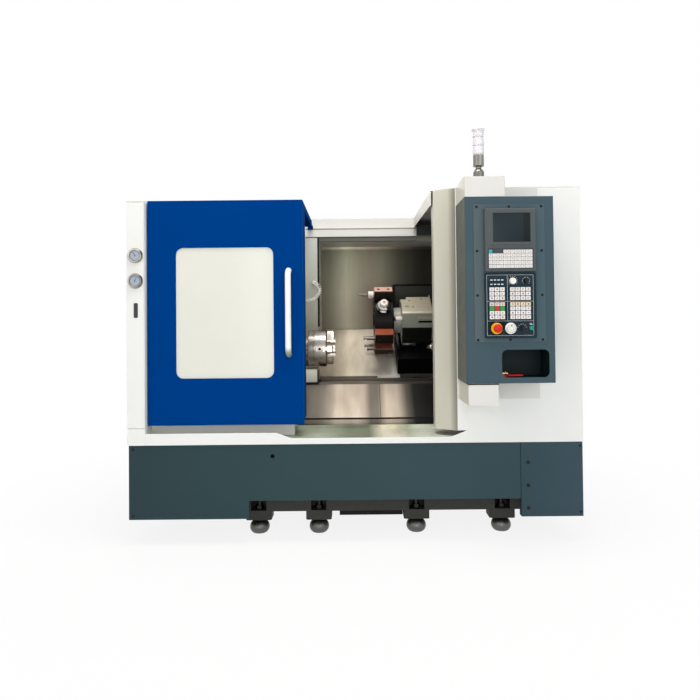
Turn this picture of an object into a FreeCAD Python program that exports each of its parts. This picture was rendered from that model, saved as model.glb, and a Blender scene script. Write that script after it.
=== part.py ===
import FreeCAD, Part
import math
import os

# A slant-bed turning lathe with a sliding guard door, a cantilevered control box and a
# twelve-station turret. Millimetres, +Z up, +X to the operator's right, +Y into the machine.
# The pieces are drawn with y = 0 on the cabinet's front face and moved at the end, so that
# the origin lies on the floor under the middle of the whole machine.

Vector = FreeCAD.Vector

# ---- driving sizes: enclosure -------------------------------------------------------
body_width = 2200.0          # over the two end sheets
body_depth = 1500.0          # front face to rear sheet
roof_height = 1718.0         # top of the rear and right-hand roof
door_top = 1672.0            # top of the left pillar and of the sliding door
base_top = 484.0             # joint between the dark skirt and the pale cabinet
skirt_bottom = 126.0
sheet = 3.0                  # cabinet sheet
skirt_inset = 6.0            # the skirt stands this far behind the cabinet's faces
notch_top = 212.0            # cut-out in the front skirt that shows the casting
notch_left = -515.0
notch_right = 798.0
lock_hole_x = -400.0         # small hole in the front skirt
lock_hole_radius = 10.0
pillar_width = 87.0          # left front pillar
pillar_depth = 60.0
inner_panel_y = 90.0         # fixed panel behind the open door
work_left = -300.0           # left wall of the work area
work_right = 760.0           # right wall of the work area
work_back = 1196.0           # stainless back wall
beam_y = 900.0               # front edge of the rear roof
beam_underside = 1573.0
beam_band = 1602.0           # lower edge of the beam's front band
rear_seam = -200.0           # joint between the left and right rear sheets
left_roof = 1600.0           # roof under the sliding hood
column_inner = 396.0         # right column: inner edge, set back
column_outer = 495.0         # right column: where it meets the front face
column_setback = 60.0
roof_edge = 384.0            # left edge of the right-hand roof
roof_flange = 58.0
rear_left = 150.0            # flush cover in the rear sheet
rear_right = 1010.0
rear_low = 600.0
rear_high = 1620.0

# ---- driving sizes: sill -----------------------------------------------------------
sill_height = 513.0
sill_depth = 270.0
sill_lip = 15.0
band_high = 540.0            # raised left part of the front band
band_step_left = -380.0
band_step_right = -308.0
tip_left = 462.0             # tapered cut under the right column
tip_right = 540.0
tip_height = 543.0

# ---- driving sizes: sliding door ----------------------------------------------------
door_gap = 6.0               # between the pillar and the door's left edge
door_edge = -247.0           # the door's right edge
door_bottom = 575.0
door_front_y = 25.0
door_thickness = 32.0
door_return = 150.0          # depth of the folded right edge
hood_depth = 684.0
hood_flange = 36.0
hood_sheet = 3.0
window_inset = 145.0         # from the door's right edge
window_width = 476.0
window_bottom = 227.0        # from the door's bottom edge
window_height = 638.0
window_radius = 35.0
window_glass = 6.0
handle_inset = 69.0          # from the door's right edge
handle_bottom = 326.0        # from the door's bottom edge
handle_length = 437.0
handle_bar = 14.0            # bar radius
handle_reach = 62.0

# ---- driving sizes: spindle line ----------------------------------------------------
spindle_y = 550.0
spindle_z = 919.0
slope = 30.0                 # degrees, of the slant bed
chuck_radius = 105.0
chuck_length = 106.0
chuck_back_x = -260.0
chuck_bore = 28.0
jaw_width = 34.0
jaw_length = 68.0            # radial
jaw_reach = 46.0             # stands in front of the chuck face
jaw_inner = 32.0             # radius of the gripping tip at rest
jaw_slot = 22.0              # depth of the slot in the chuck face
jaw_neck = 18.0
jaw_step = 16.0
spindle_radius = 45.0
spindle_bore = 28.0
spindle_nose_radius = 70.0
spindle_left_x = -900.0
bearing_radius = 78.0
bearing_width = 32.0
pulley_radius = 75.0
pulley_width = 64.0
pulley_x = -700.0            # left side of the belt line
motor_pulley_radius = 60.0
motor_y = 640.0
motor_z = 440.0
motor_radius = 118.0
motor_length = 300.0
motor_shaft = 20.0
motor_gap = 46.0             # from the belt line to the motor's flange face
belt_thickness = 6.0

# ---- driving sizes: slant bed, in slope coordinates (x, u up the slope, n off it) ----
cover_n = -245.0             # underside of the fixed way covers
cover_sheet = 2.5
cover_low_u = 63.0           # lower edge of the way covers
travel_left = 110.0          # of the saddle, from its place in the drawing
travel_right = 230.0
travel_play = 6.0            # left between the saddle and a fixed cover at each end
ways_n = -330.0              # rail seats on the bed
rail_height = 32.0
rail_width = 34.0
rail_low_u = 130.0
rail_high_u = 470.0
screw_u = 300.0
screw_n = -306.0
screw_radius = 16.0
bed_left = -560.0
bed_right = 840.0
bed_bottom = 113.0
bed_front = 160.0
bed_rear_gap = 100.0         # from the bed's rear face to the rear sheet
bed_wall = 28.0
lug_bottom = 69.0
lug_width = 130.0
foot_x = (-493.0, -188.0, 309.0, 744.0)
foot_inset = 200.0           # from the cabinet's front and rear faces
foot_radius = 50.0
foot_height = 62.0
stud_radius = 12.0
ledge_z = 700.0              # tailstock seat on the bed
ledge_front = 490.0
ledge_back = 745.0
way_top = 728.0              # top of the tailstock ways
way_width = 45.0

# ---- driving sizes: saddle, cross slide and turret ----------------------------------
saddle_left = 274.0
saddle_width = 216.0
saddle_low_u = 100.0
saddle_high_u = 500.0
saddle_under_n = -282.0
saddle_top_n = -215.0
shroud_gap = 11.0            # from the saddle's side to the shroud's inner face
shroud_sheet = 4.0
shroud_low_u = 80.0
shroud_top_n = -136.0
tower_top = 1305.0
turret_u = 308.0             # turret axis from the spindle axis, up the slope
turret_left = 123.0
turret_disc_width = 109.0
turret_apothem = 150.0
turret_stations = 12
tool_block = 66.0            # width of a tool block round the disc
tool_block_top = 217.0       # outer face of a tool block from the turret axis
housing_left = 286.0
housing_width = 179.0
housing_half = 125.0
housing_top_back = 67.0     # rear edge of the top face, from the turret axis
plate_under_n = -172.0
plate_top_n = -96.0
neck_radius = 78.0
cross_screw_n = -193.0
cross_screw_radius = 12.0
cross_rail = 28.0
cross_rail_height = 30.0

# ---- driving sizes: tailstock --------------------------------------------------------
tail_left = 505.0
tail_length = 245.0
tail_barrel = 62.0
quill_radius = 37.0
quill_left = 465.0
centre_tip = 408.0
centre_cone = 17.0           # radius at the back of the 60 degree point
centre_head = 27.0
centre_shank = 12.0

# ---- driving sizes: control box -------------------------------------------------------
box_left = 498.0
box_width = 397.0
duct_height = 91.0           # from the box's top up to the roof line
box_height = 834.0
box_reach = 235.0
plate_left = 39.0            # from the box's left side
plate_width = 316.0
plate_bottom = 184.0         # from the box's underside
plate_height = 614.0
plate_sheet = 3.0
pocket_left = 159.0          # from the box's left side
pocket_width = 211.0
pocket_bottom = 26.0
pocket_height = 123.0
pocket_radius = 24.0
pocket_depth = 150.0
unit_left = 45.0             # from the plate's left side
unit_width = 226.0
unit_height = 280.0
unit_bottom = 312.0          # from the plate's lower edge
unit_depth = 22.0
unit_body = 60.0             # depth behind the plate
panel_bottom = 18.0
panel_height = 287.0
panel_depth = 18.0
screen_width = 166.0
screen_height = 129.0
screen_depth = 4.0
duct_left = 499.0
duct_width = 181.0
lower_duct_left = 506.0
lower_duct_width = 135.0
lower_duct_height = 99.0
light_x = 587.0
light_y = -118.0
light_top = 1967.0
light_radius = 26.5
lens_height = 126.0
lens_lip = 4.5             # the top tier's rim stands out by this much

# ---- driving sizes: buttons and knobs on the operator panel ---------------------------
stop_radius = 19.0
stop_height = 34.0
stop_collar = 25.0
stop_travel = 5.0
jog_radius = 25.0
jog_height = 20.0
feed_radius = 15.0
speed_radius = 11.0
knob_height = 16.0
selector_radius = 13.0
start_radius = 11.0
start_height = 9.0
start_travel = 3.0
stem_clearance = 0.3
low_row_z = 43.0             # above the operator panel's lower edge
stop_x = 48.0                # from the operator panel's left edge
jog_x = 109.0
selector_x = 160.0
start_x = 201.0
knob_row_z = 252.0
feed_x = 121.0
speed_x = 180.0

# ---- driving sizes: left pillar fittings ----------------------------------------------
service_bottom = 567.0
service_top = 1662.0
service_depth = 700.0
service_gap = 2.0
gauge_z = (1402.0, 1279.0)
gauge_inset = 44.0           # from the cabinet's left face
gauge_radius = 37.0
gauge_dial = 26.0
gauge_depth = 14.0
latch_inset = 45.0
latch_bottom = 1098.0
latch_width = 24.0
latch_height = 77.0
latch_depth = 18.0
latch_pin = 0.8
latch_pin_y = 1.0
latch_pin_drop = 8.5         # below the top of the latch's seat
hinge_radius = 7.0
hinge_pin = 3.0
hinge_length = 90.0
door_rail_y = 150.0          # upper guide rail of the sliding door

# ---- clearances -------------------------------------------------------------------------
run_gap = 0.05               # radial, of a shaft in its bore
slip_gap = 0.3               # between curved faces that pass each other
slide_gap = 2.0              # between sliding sheets

# ---- values that follow from the sizes above --------------------------------------------
half_width = body_width / 2
bed_back = body_depth - bed_rear_gap
door_left = pillar_width + door_gap - half_width
door_width = door_edge - door_left
handle_x = door_width - handle_inset
window_left = door_width - window_inset - window_width
gauge_x = gauge_inset - half_width
latch_x = latch_inset - half_width
door_right = door_edge
chuck_face_x = chuck_back_x + chuck_length
front_reach = box_reach + plate_sheet + panel_depth + stop_height
origin_y = (body_depth - front_reach) / 2
cos_slope = math.cos(math.radians(slope))
sin_slope = math.sin(math.radians(slope))
saddle_right = saddle_left + saddle_width
saddle_middle = (saddle_left + saddle_right) / 2
turret_right = turret_left + turret_disc_width
housing_right = housing_left + housing_width
tail_right = tail_left + tail_length
shroud_left = saddle_left - shroud_gap - shroud_sheet
shroud_right = saddle_right + shroud_gap + shroud_sheet
guard_right = saddle_right + travel_right + travel_play
slide_right = guard_right + travel_left + travel_play
slide_left = turret_left - travel_right - 2 * travel_play
box_bottom = roof_height - duct_height - box_height
panel_face = -box_reach - plate_sheet
unit_x = box_left + plate_left + unit_left
panel_z = box_bottom + plate_bottom + panel_bottom
unit_z = box_bottom + plate_bottom + unit_bottom

os.makedirs("parts", exist_ok=True)


# ---- helpers that draw one plain shape ---------------------------------------------------
def box(x0, x1, y0, y1, z0, z1):
    return Part.makeBox(x1 - x0, y1 - y0, z1 - z0, Vector(x0, y0, z0))


def prism_x(outline, x0, x1):
    points = [Vector(x0, y, z) for y, z in outline]
    return Part.Face(Part.makePolygon(points + points[:1])).extrude(Vector(x1 - x0, 0, 0))


def prism_y(outline, y0, y1):
    points = [Vector(x, y0, z) for x, z in outline]
    return Part.Face(Part.makePolygon(points + points[:1])).extrude(Vector(0, y1 - y0, 0))


def prism_z(outline, z0, z1):
    points = [Vector(x, y, z0) for x, y in outline]
    return Part.Face(Part.makePolygon(points + points[:1])).extrude(Vector(0, 0, z1 - z0))


def edges_along(shape, axis):
    """The straight edges of a shape that run along X (0), Y (1) or Z (2)."""
    found = []
    for edge in shape.Edges:
        ends = [vertex.Point for vertex in edge.Vertexes]
        if len(ends) == 2:
            run = ends[1] - ends[0]
            if abs(abs(run[axis]) - run.Length) < 1e-6:
                found.append(edge)
    return found


def rounded(shape, radius, axis):
    return shape.makeFillet(radius, edges_along(shape, axis))


def rod_x(x0, x1, y, z, radius):
    return Part.makeCylinder(radius, x1 - x0, Vector(x0, y, z), Vector(1, 0, 0))


def rod_y(y0, y1, x, z, radius):
    return Part.makeCylinder(radius, y1 - y0, Vector(x, y0, z), Vector(0, 1, 0))


def rod_z(z0, z1, x, y, radius):
    return Part.makeCylinder(radius, z1 - z0, Vector(x, y, z0), Vector(0, 0, 1))


def turned_x(profile, y, z):
    """A body turned about a line along X, from (x, radius) points."""
    points = [Vector(x, y, z + radius) for x, radius in profile]
    face = Part.Face(Part.makePolygon(points + points[:1]))
    return face.revolve(Vector(0, y, z), Vector(1, 0, 0), 360)


def turned_y(profile, x, z):
    points = [Vector(x, y, z + radius) for y, radius in profile]
    face = Part.Face(Part.makePolygon(points + points[:1]))
    return face.revolve(Vector(x, 0, z), Vector(0, 1, 0), 360)


def turned_z(profile, x, y):
    points = [Vector(x + radius, y, z) for radius, z in profile]
    face = Part.Face(Part.makePolygon(points + points[:1]))
    return face.revolve(Vector(x, y, 0), Vector(0, 0, 1), 360)


def joined(pieces):
    result = pieces[0]
    for piece in pieces[1:]:
        result = result.fuse(piece)
    return result.removeSplitter()


def on_slope(shape):
    """Turns a shape drawn as (x, u, n) onto the slant bed, with u = n = 0 on the spindle."""
    placed = shape.copy()
    placed.rotate(Vector(0, 0, 0), Vector(1, 0, 0), slope)
    placed.translate(Vector(0, spindle_y, spindle_z))
    return placed


def slope_point(u, n):
    """(y, z) of a point of the slant bed."""
    return (
        spindle_y + u * cos_slope - n * sin_slope,
        spindle_z + u * sin_slope + n * cos_slope,
    )


def slope_u_at(y, n):
    return (y - spindle_y + n * sin_slope) / cos_slope


def hex_head(x, y, z, across, height, direction):
    """A hexagonal head on a point, standing along -Y or +Z."""
    corners = []
    for step in range(6):
        turn = math.radians(60 * step)
        corners.append((across / 2 * math.cos(turn), across / 2 * math.sin(turn)))
    if direction == "front":
        return prism_y([(x + a, z + b) for a, b in corners], y - height, y)
    return prism_z([(x + a, y + b) for a, b in corners], z, z + height)


# ---- base ----------------------------------------------------------------------------------
def bed_outline(inset):
    """Section of the bed casting, shrunk by the wall thickness for its cores."""
    low = slope_point(saddle_low_u - 20, ways_n)
    high = slope_point(saddle_high_u + 40, ways_n)
    back = high[0] + 18
    return [
        (bed_front + inset, bed_bottom + inset),
        (bed_back - inset, bed_bottom + inset),
        (bed_back - inset, 330 - inset),
        (back - inset, 560 - inset),
        (back - inset, high[1] - inset * 1.3),
        (high[0] - inset, high[1] - inset * 1.3),
        (low[0] + inset * 0.3, low[1] - inset * 1.3),
        (ledge_back, low[1] - inset * 1.3),
        (ledge_back, ledge_z - inset - (1 if inset else 0)),
        (ledge_front + inset, ledge_z - inset - (1 if inset else 0)),
        (ledge_front + inset, 560 - inset * 0.5),
        (330 + inset * 0.5, 420 - inset),
        (bed_front + inset, 420 - inset),
    ]


def make_bed_casting():
    outline = bed_outline(0)
    body = prism_x(outline, bed_left, bed_right)
    bays = 4
    rib = bed_wall
    pitch = (bed_right - bed_left - rib) / bays
    for bay in range(bays):
        start = bed_left + rib + bay * pitch
        body = body.cut(prism_x(bed_outline(bed_wall), start, start + pitch - rib))
    trough = box(
        bed_left - 1, bed_right + 1, screw_u - 62, screw_u + 62, ways_n - 14, ways_n + 60
    )
    body = body.cut(on_slope(trough))
    lugs = []
    for x in foot_x:
        for front in (True, False):
            y0 = bed_front if front else body_depth - foot_inset - 60
            y1 = foot_inset + 60 if front else bed_back
            middle = foot_inset if front else body_depth - foot_inset
            lug = box(x - lug_width / 2, x + lug_width / 2, y0, y1, lug_bottom, bed_bottom + 4)
            lugs.append(rounded(lug, 12, 2))
            body = body.cut(
                box(
                    x - lug_width / 2 + 26,
                    x + lug_width / 2 - 26,
                    middle - 46 if front else middle - 34,
                    middle + 34 if front else middle + 46,
                    bed_bottom + 4,
                    notch_top - 14,
                )
            )
    body = joined([body] + lugs)
    for x in foot_x:
        for middle in (foot_inset, body_depth - foot_inset):
            body = body.cut(rod_z(lug_bottom - 1, notch_top, x, middle, stud_radius + 1.5))
            front = middle == foot_inset
            y0 = bed_front - 1 if front else middle
            y1 = middle if front else bed_back + 1
            window = box(x - 39, x + 39, y0, y1, bed_bottom + 26, notch_top - 14)
            body = body.cut(window)
    return body


def make_levelling_feet():
    feet = []
    for x in foot_x:
        for y in (foot_inset, body_depth - foot_inset):
            low = Vector(x + foot_radius * 0.72, y, 0)
            waist = Vector(x + foot_radius, y, foot_height * 0.42)
            top = Vector(x + foot_radius * 0.5, y, foot_height)
            edges = [
                Part.LineSegment(Vector(x, y, 0), low).toShape(),
                Part.Arc(low, waist, top).toShape(),
                Part.LineSegment(top, Vector(x, y, foot_height)).toShape(),
                Part.LineSegment(Vector(x, y, foot_height), Vector(x, y, 0)).toShape(),
            ]
            pad = Part.Face(Part.Wire(edges)).revolve(Vector(x, y, 0), Vector(0, 0, 1), 360)
            stud = rod_z(foot_height - 1, bed_bottom + 52, x, y, stud_radius)
            feet.append(joined([pad, stud]))
            nut = hex_head(x, y, bed_bottom + 4, 42, 18, "up")
            feet.append(nut.cut(rod_z(bed_bottom, bed_bottom + 30, x, y, stud_radius + run_gap)))
    return Part.makeCompound(feet)


def skirt_outline():
    left = -half_width + skirt_inset
    return [
        (left, skirt_bottom),
        (notch_left, skirt_bottom),
        (notch_left, notch_top),
        (notch_right, notch_top),
        (notch_right, base_top),
        (left, base_top),
    ]


def make_base_skirt():
    left = -half_width + skirt_inset
    right = half_width - skirt_inset
    front = prism_y(skirt_outline(), skirt_inset, skirt_inset + sheet)
    rear_y = body_depth - skirt_inset
    side = box(left, left + sheet, skirt_inset, rear_y, skirt_bottom, base_top)
    rear = box(left, right, rear_y - sheet, rear_y, skirt_bottom, base_top)
    flange = box(left, left + 30, skirt_inset, rear_y, skirt_bottom, skirt_bottom + sheet)
    front_flange = box(
        left, notch_left, skirt_inset, skirt_inset + 30, skirt_bottom, skirt_bottom + sheet
    )
    stay = box(
        bed_left - 120, bed_left, skirt_inset + sheet, skirt_inset + sheet + 140, 400, 404
    )
    tie = box(notch_left - 80, notch_left, skirt_inset, bed_front, notch_top, notch_top + 4)
    skirt = joined([front, side, rear, flange, front_flange, stay, tie])
    return skirt.cut(rod_y(0, 20, lock_hole_x, base_top - 58, lock_hole_radius))


def make_base_end_cover():
    right = half_width - skirt_inset / 2
    rear_y = body_depth - skirt_inset - sheet - 1
    front = box(notch_right + 1, right, skirt_inset / 2, skirt_inset / 2 + sheet, skirt_bottom, base_top)
    side = box(right - sheet, right, skirt_inset / 2, rear_y, skirt_bottom, base_top)
    edge = box(
        notch_right + 1, notch_right + 1 + sheet, skirt_inset / 2, 40, skirt_bottom, base_top
    )
    foot = box(
        notch_right + 1, right, skirt_inset / 2, 30, skirt_bottom, skirt_bottom + sheet
    )
    return joined([front, side, edge, foot])


def screw_places():
    """(x, y of the face, z, head radius) of the round-headed screws seen from the front."""
    places = []
    skirt_left = -half_width + skirt_inset
    for z in (base_top - 20, skirt_bottom + 20):
        places.append((skirt_left + 20, skirt_inset, z, 6))
        places.append((half_width - 15, skirt_inset / 2, z, 6))
    cover_x = notch_right + 35
    for z in (386, 276, 168):
        places.append((cover_x, skirt_inset / 2, z, 9))
    left = box_left + plate_left + 14
    right = left + plate_width - 28
    low = box_bottom + plate_bottom + 10
    high = low + plate_height - 20
    step = (high - low) / 3
    for row in range(4):
        z = low + row * step
        places.append((left, panel_face, z, 6))
        places.append((right, panel_face, z, 6))
    middle = (left + right) / 2
    places.append((middle, panel_face, low, 6))
    places.append((middle, panel_face, high, 6))
    return places


def make_panel_screws():
    screws = []
    for x, face, z, head in screw_places():
        outline = [(face, 0), (face, head), (face - 1.6, head - 0.5), (face - 3, head / 2), (face - 3, 0)]
        screws.append(turned_y(outline, x, z))
    return Part.makeCompound(screws)


def make_coolant_tray():
    left = foot_x[1] + 104
    right = foot_x[2] - lug_width / 2 - 2
    front = bed_front + 70
    back = bed_back - 150
    tray = box(left, right, front, back, lug_bottom, bed_bottom)
    hollow = box(
        left + sheet, right - sheet, front + sheet, back - sheet, lug_bottom + sheet, bed_bottom + 1
    )
    tray = tray.cut(hollow)
    boss_x = right - 142
    boss = turned_y(
        [(front, 0), (front, 11), (front - 8, 11), (front - 8, 7), (front - 18, 7), (front - 18, 0)],
        boss_x,
        lug_bottom + 19,
    )
    return joined([tray, boss])


# ---- enclosure --------------------------------------------------------------------------------
def make_left_cabinet():
    left = -half_width
    inner = left + pillar_width
    side = left + sheet
    rear = body_depth - sheet
    top_strip = box(left, inner, 0, pillar_depth, service_top + service_gap, door_top)
    top_core = box(side, inner - sheet, sheet, pillar_depth, service_top, door_top - sheet)
    low_strip = box(left, inner, 0, pillar_depth, base_top, service_bottom - service_gap)
    low_core = box(side, inner - sheet, sheet, pillar_depth, base_top, service_bottom)
    jamb = box(inner - sheet, inner, 0, inner_panel_y, base_top, door_top)
    side_low = box(left, side, 0, body_depth, base_top, service_bottom - service_gap)
    side_top = box(left, side, 0, body_depth, service_top + service_gap, door_top)
    hinge_y = service_depth + 1
    side_back = box(left, side, hinge_y + 11, body_depth, base_top, door_top)
    post = box(side, left + 40, hinge_y + 11, hinge_y + 11 + sheet, base_top, left_roof)
    rear_sheet = box(left, rear_seam, rear, body_depth, base_top, door_top)
    roof = box(inner - sheet, work_left, inner_panel_y, beam_y, left_roof - sheet, left_roof)
    shelf = box(left + 24, inner, pillar_depth - 1, beam_y, left_roof - sheet, left_roof)
    ties = [
        box(left + 24, left + 27, 0.5, pillar_depth, service_top + service_gap, door_top - sheet),
        box(left + 24, left + 27, 0.5, pillar_depth, left_roof - sheet, service_top + service_gap + 1),
    ]
    ties[1] = ties[1].cut(box(left, inner, 0, 22, 0, service_top + service_gap))
    step = box(left, left + 40, beam_y, rear, door_top - sheet, door_top)
    shelf_back = box(side, left + 40, beam_y - 1, rear, left_roof - sheet, left_roof)
    floor = box(side, bed_left - 40, sill_depth + 1, rear, base_top, base_top + sheet)
    corner = box(side, inner - sheet, pillar_depth - 1, sill_depth + 2, base_top, base_top + sheet)
    well = box(
        left + 40, bed_left - 39, motor_y - 200, motor_y + 200, base_top - 1, base_top + sheet + 1
    )
    rail = box(inner + 4, work_left - 2, door_rail_y, door_rail_y + 12, left_roof - 1, left_roof + 38)
    cabinet = [
        top_strip.cut(top_core),
        low_strip.cut(low_core),
        jamb,
        side_low,
        side_top,
        side_back,
        post,
        rear_sheet,
        roof,
        shelf,
        step,
        shelf_back,
        floor.cut(well),
        corner,
        rail,
    ]
    cabinet += ties
    for z0, z1 in hinge_spans()[1::2]:
        cabinet.append(rod_z(z0, z1, left + hinge_radius, hinge_y, hinge_radius))
        cabinet.append(box(side - 1, left + 6, hinge_y, hinge_y + 30, z0, z1))
    for z0, z1 in hinge_spans()[0::2]:
        cabinet.append(rod_z(z0 - 5, z1 + 5, left + hinge_radius, hinge_y, hinge_pin))
    vents = []
    for row in range(9):
        z = 1240 + row * 26
        vents.append(box(left - 1, side + 1, 980, 1300, z, z + 9))
    return joined(cabinet).cut(Part.makeCompound(vents))


def hinge_spans():
    """(z0, z1) of the door's knuckle, then of the cabinet's two, for both hinges."""
    spans = []
    for low in (service_bottom + 120, service_top - 120 - hinge_length):
        third = hinge_length / 3
        spans.append((low + third + 0.5, low + 2 * third - 0.5))
        spans.append((low, low + third))
        spans.append((low + third + 0.5, low + 2 * third - 0.5))
        spans.append((low + 2 * third, low + hinge_length))
    return spans


def right_plan():
    """Plan of the right cabinet's sheet, from the column round to the rear."""
    outer = [
        (column_inner, inner_panel_y + 40),
        (column_inner, column_setback),
        (column_outer, 0),
        (half_width, 0),
        (half_width, body_depth),
        (rear_seam + 1, body_depth),
    ]
    inner = [
        (rear_seam + 1, body_depth - sheet),
        (half_width - sheet, body_depth - sheet),
        (half_width - sheet, sheet),
        (column_outer + sheet * 0.3, sheet),
        (column_inner + sheet, column_setback + sheet * 0.7),
        (column_inner + sheet, inner_panel_y + 40),
    ]
    return outer + inner


def make_right_cabinet():
    wall = prism_z(right_plan(), base_top, roof_height - sheet)
    low_front = box(0, column_outer + 60, -1, inner_panel_y + 60, base_top - 1, tip_height)
    wall = wall.cut(low_front)
    tongue = prism_y(
        [
            (tip_left, base_top),
            (tip_left, sill_height),
            (tip_right, tip_height),
            (column_outer + 60, tip_height),
            (column_outer + 60, base_top),
        ],
        0,
        sheet,
    )
    rear_hole = box(rear_left, rear_right, body_depth - sheet - 1, body_depth + 1, rear_low, rear_high)
    wall = wall.cut(rear_hole)
    floor = box(bed_right + 1, half_width - sheet, sheet, body_depth - sheet, base_top, base_top + sheet)
    vents = []
    for row in range(9):
        z = 1240 + row * 26
        vents.append(box(half_width - sheet - 1, half_width + 1, 980, 1300, z, z + 9))
    return joined([wall, tongue, floor]).cut(Part.makeCompound(vents))


def make_roof_beam():
    left = -half_width + 40
    rear_y = body_depth
    top = roof_height
    under = top - sheet
    overhang = (column_inner - roof_edge) * column_setback / (column_outer - column_inner)
    roof = prism_z(
        [
            (left, beam_y - sheet),
            (roof_edge, beam_y - sheet),
            (roof_edge, column_setback + overhang),
            (column_outer, 0),
            (half_width, 0),
            (half_width, body_depth),
            (left, body_depth),
        ],
        under,
        top,
    )
    lip = box(left, roof_edge + sheet, beam_y - sheet, beam_y, top - 54, top)
    rail = box(left, roof_edge, beam_y - 12, beam_y, beam_band, top - 56)
    rail_back = box(left, work_right, beam_y - sheet, beam_y, beam_band, top - 50)
    band = box(left, work_right, beam_y + 15, beam_y + 15 + sheet, beam_underside, beam_band + sheet)
    shelf = box(left, work_right, beam_y - sheet, beam_y + 15 + sheet, beam_band, beam_band + sheet)
    ceiling = box(work_left, work_right, beam_y + 15, work_back, beam_underside, beam_underside + sheet)
    side_flange = prism_x(
        [
            (column_setback, top),
            (beam_y, top),
            (beam_y, top - roof_flange),
            (column_setback, top - roof_flange - 16),
        ],
        roof_edge,
        roof_edge + sheet,
    )
    left_end = box(left, left + sheet, beam_y, rear_y, door_top, top)
    rear_end = box(left, rear_seam, rear_y - sheet, rear_y, door_top, top)
    pieces = [
        roof,
        lip,
        rail_back,
        rail,
        shelf,
        band,
        ceiling,
        side_flange,
        left_end,
        rear_end,
    ]
    return joined(pieces)


def make_front_sill():
    left = -half_width + pillar_width
    band = prism_y(
        [
            (left, base_top),
            (tip_left, base_top),
            (tip_left, sill_height),
            (band_step_right, sill_height),
            (band_step_left, band_high),
            (left, band_high),
        ],
        0,
        sheet,
    )
    ledge = box(left, tip_right - 2, sheet, sill_depth, sill_height - sheet, sill_height)
    lip = box(
        left, work_right, sill_depth - sheet, sill_depth, sill_height - sheet, sill_height + sill_lip
    )
    hem = box(
        left, work_right, sill_depth - 8, sill_depth, sill_height + sill_lip - sheet, sill_height + sill_lip
    )
    extension = box(
        tip_right - 2, work_right, sill_depth - 60, sill_depth, sill_height - sheet, sill_height
    )
    ends = box(left, left + sheet, sheet, sill_depth, base_top, sill_height)
    return joined([band, ledge, lip, hem, extension, ends])


def make_inner_front_panel():
    left = -half_width + pillar_width
    panel = box(left, work_left, inner_panel_y, inner_panel_y + sheet, sill_height, left_roof - sheet)
    fold = box(
        work_left - sheet, work_left, inner_panel_y, inner_panel_y + 45, sill_height, left_roof - sheet
    )
    top = box(left, work_left, inner_panel_y, inner_panel_y + 30, left_roof - 2 * sheet, left_roof - sheet)
    return joined([panel, fold, top])


def make_rear_cover():
    """Flush louvred cover with a rim that bears on the inside of the rear sheet."""
    y1 = body_depth
    x0, x1 = rear_left + 2, rear_right - 2
    z0, z1 = rear_low + 2, rear_high - 2
    tray = rounded(box(x0, x1, y1 - sheet, y1, z0, z1), 8, 1)
    rim = box(x0 - 20, x1 + 20, y1 - 2 * sheet, y1 - sheet, z0 - 20, z1 + 20)
    rim = rim.cut(box(x0 + 18, x1 - 18, y1 - 2 * sheet - 1, y1, z0 + 18, z1 - 18))
    stiffener = box(x0 + 18, x1 - 18, y1 - 24, y1 - sheet, (z0 + z1) / 2 - 2, (z0 + z1) / 2 + 2)
    cover = joined([tray, rim, stiffener])
    slots = []
    middle = (x0 + x1) / 2
    for column in (middle - 330, middle + 60):
        for row in range(10):
            z = z0 + 100 + row * 24
            slots.append(box(column, column + 270, y1 - sheet - 1, y1 + 1, z, z + 8))
    return cover.cut(Part.makeCompound(slots))


# ---- stainless work area ------------------------------------------------------------------------
def chute_line(gap):
    """(y, z) points of the chip chute from the sill up to the way covers, raised by a gap."""
    lip = slope_point(cover_low_u, cover_n)
    top = slope_point(slope_u_at(work_back, cover_n), cover_n)
    return [
        (sill_depth + 30, 559 + gap),
        (ledge_front + 10, 716 + gap),
        (ledge_front + 10, way_top + gap),
        (lip[0], way_top + gap),
        (lip[0] - 1, lip[1] + gap + cover_sheet),
        (top[0], top[1] + gap + cover_sheet),
    ]


def side_wall(x0, x1, front_y, top):
    """A side wall of the work area, cut to follow the chutes and the slope."""
    outline = [(front_y, top), (front_y, sill_height + 20), (sill_depth + 5, sill_height + 20)]
    outline += chute_line(1)
    outline += [
        (work_back + cover_sheet, beam_underside),
        (beam_y + 15, beam_underside),
        (beam_y + 15, top),
    ]
    return prism_x(outline, x0, x1)


def make_back_wall():
    foot = slope_point(slope_u_at(work_back, cover_n), cover_n + cover_sheet)[1]
    top = beam_underside
    back = box(work_left, work_right, work_back, work_back + cover_sheet, foot + 1, top)
    side = side_wall(work_right, work_right + cover_sheet, inner_panel_y + 40, left_roof)
    front = box(
        column_inner + sheet + 1,
        work_right + cover_sheet,
        inner_panel_y + 40,
        inner_panel_y + 40 + cover_sheet,
        sill_height + 40,
        left_roof,
    )
    return joined([back, side, front])


def cover_sheet_at(x0, x1, under, low_u, high_u, fold):
    """One bent sheet on the slope with its lower edge folded straight down."""
    slab = on_slope(box(x0, x1, low_u, high_u, under, under + cover_sheet))
    y, z = slope_point(low_u, under + cover_sheet)
    skirt = box(x0, x1, y - 0.5, y + cover_sheet - 0.5, z - fold, z - 0.6)
    return joined([slab, skirt])


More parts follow.
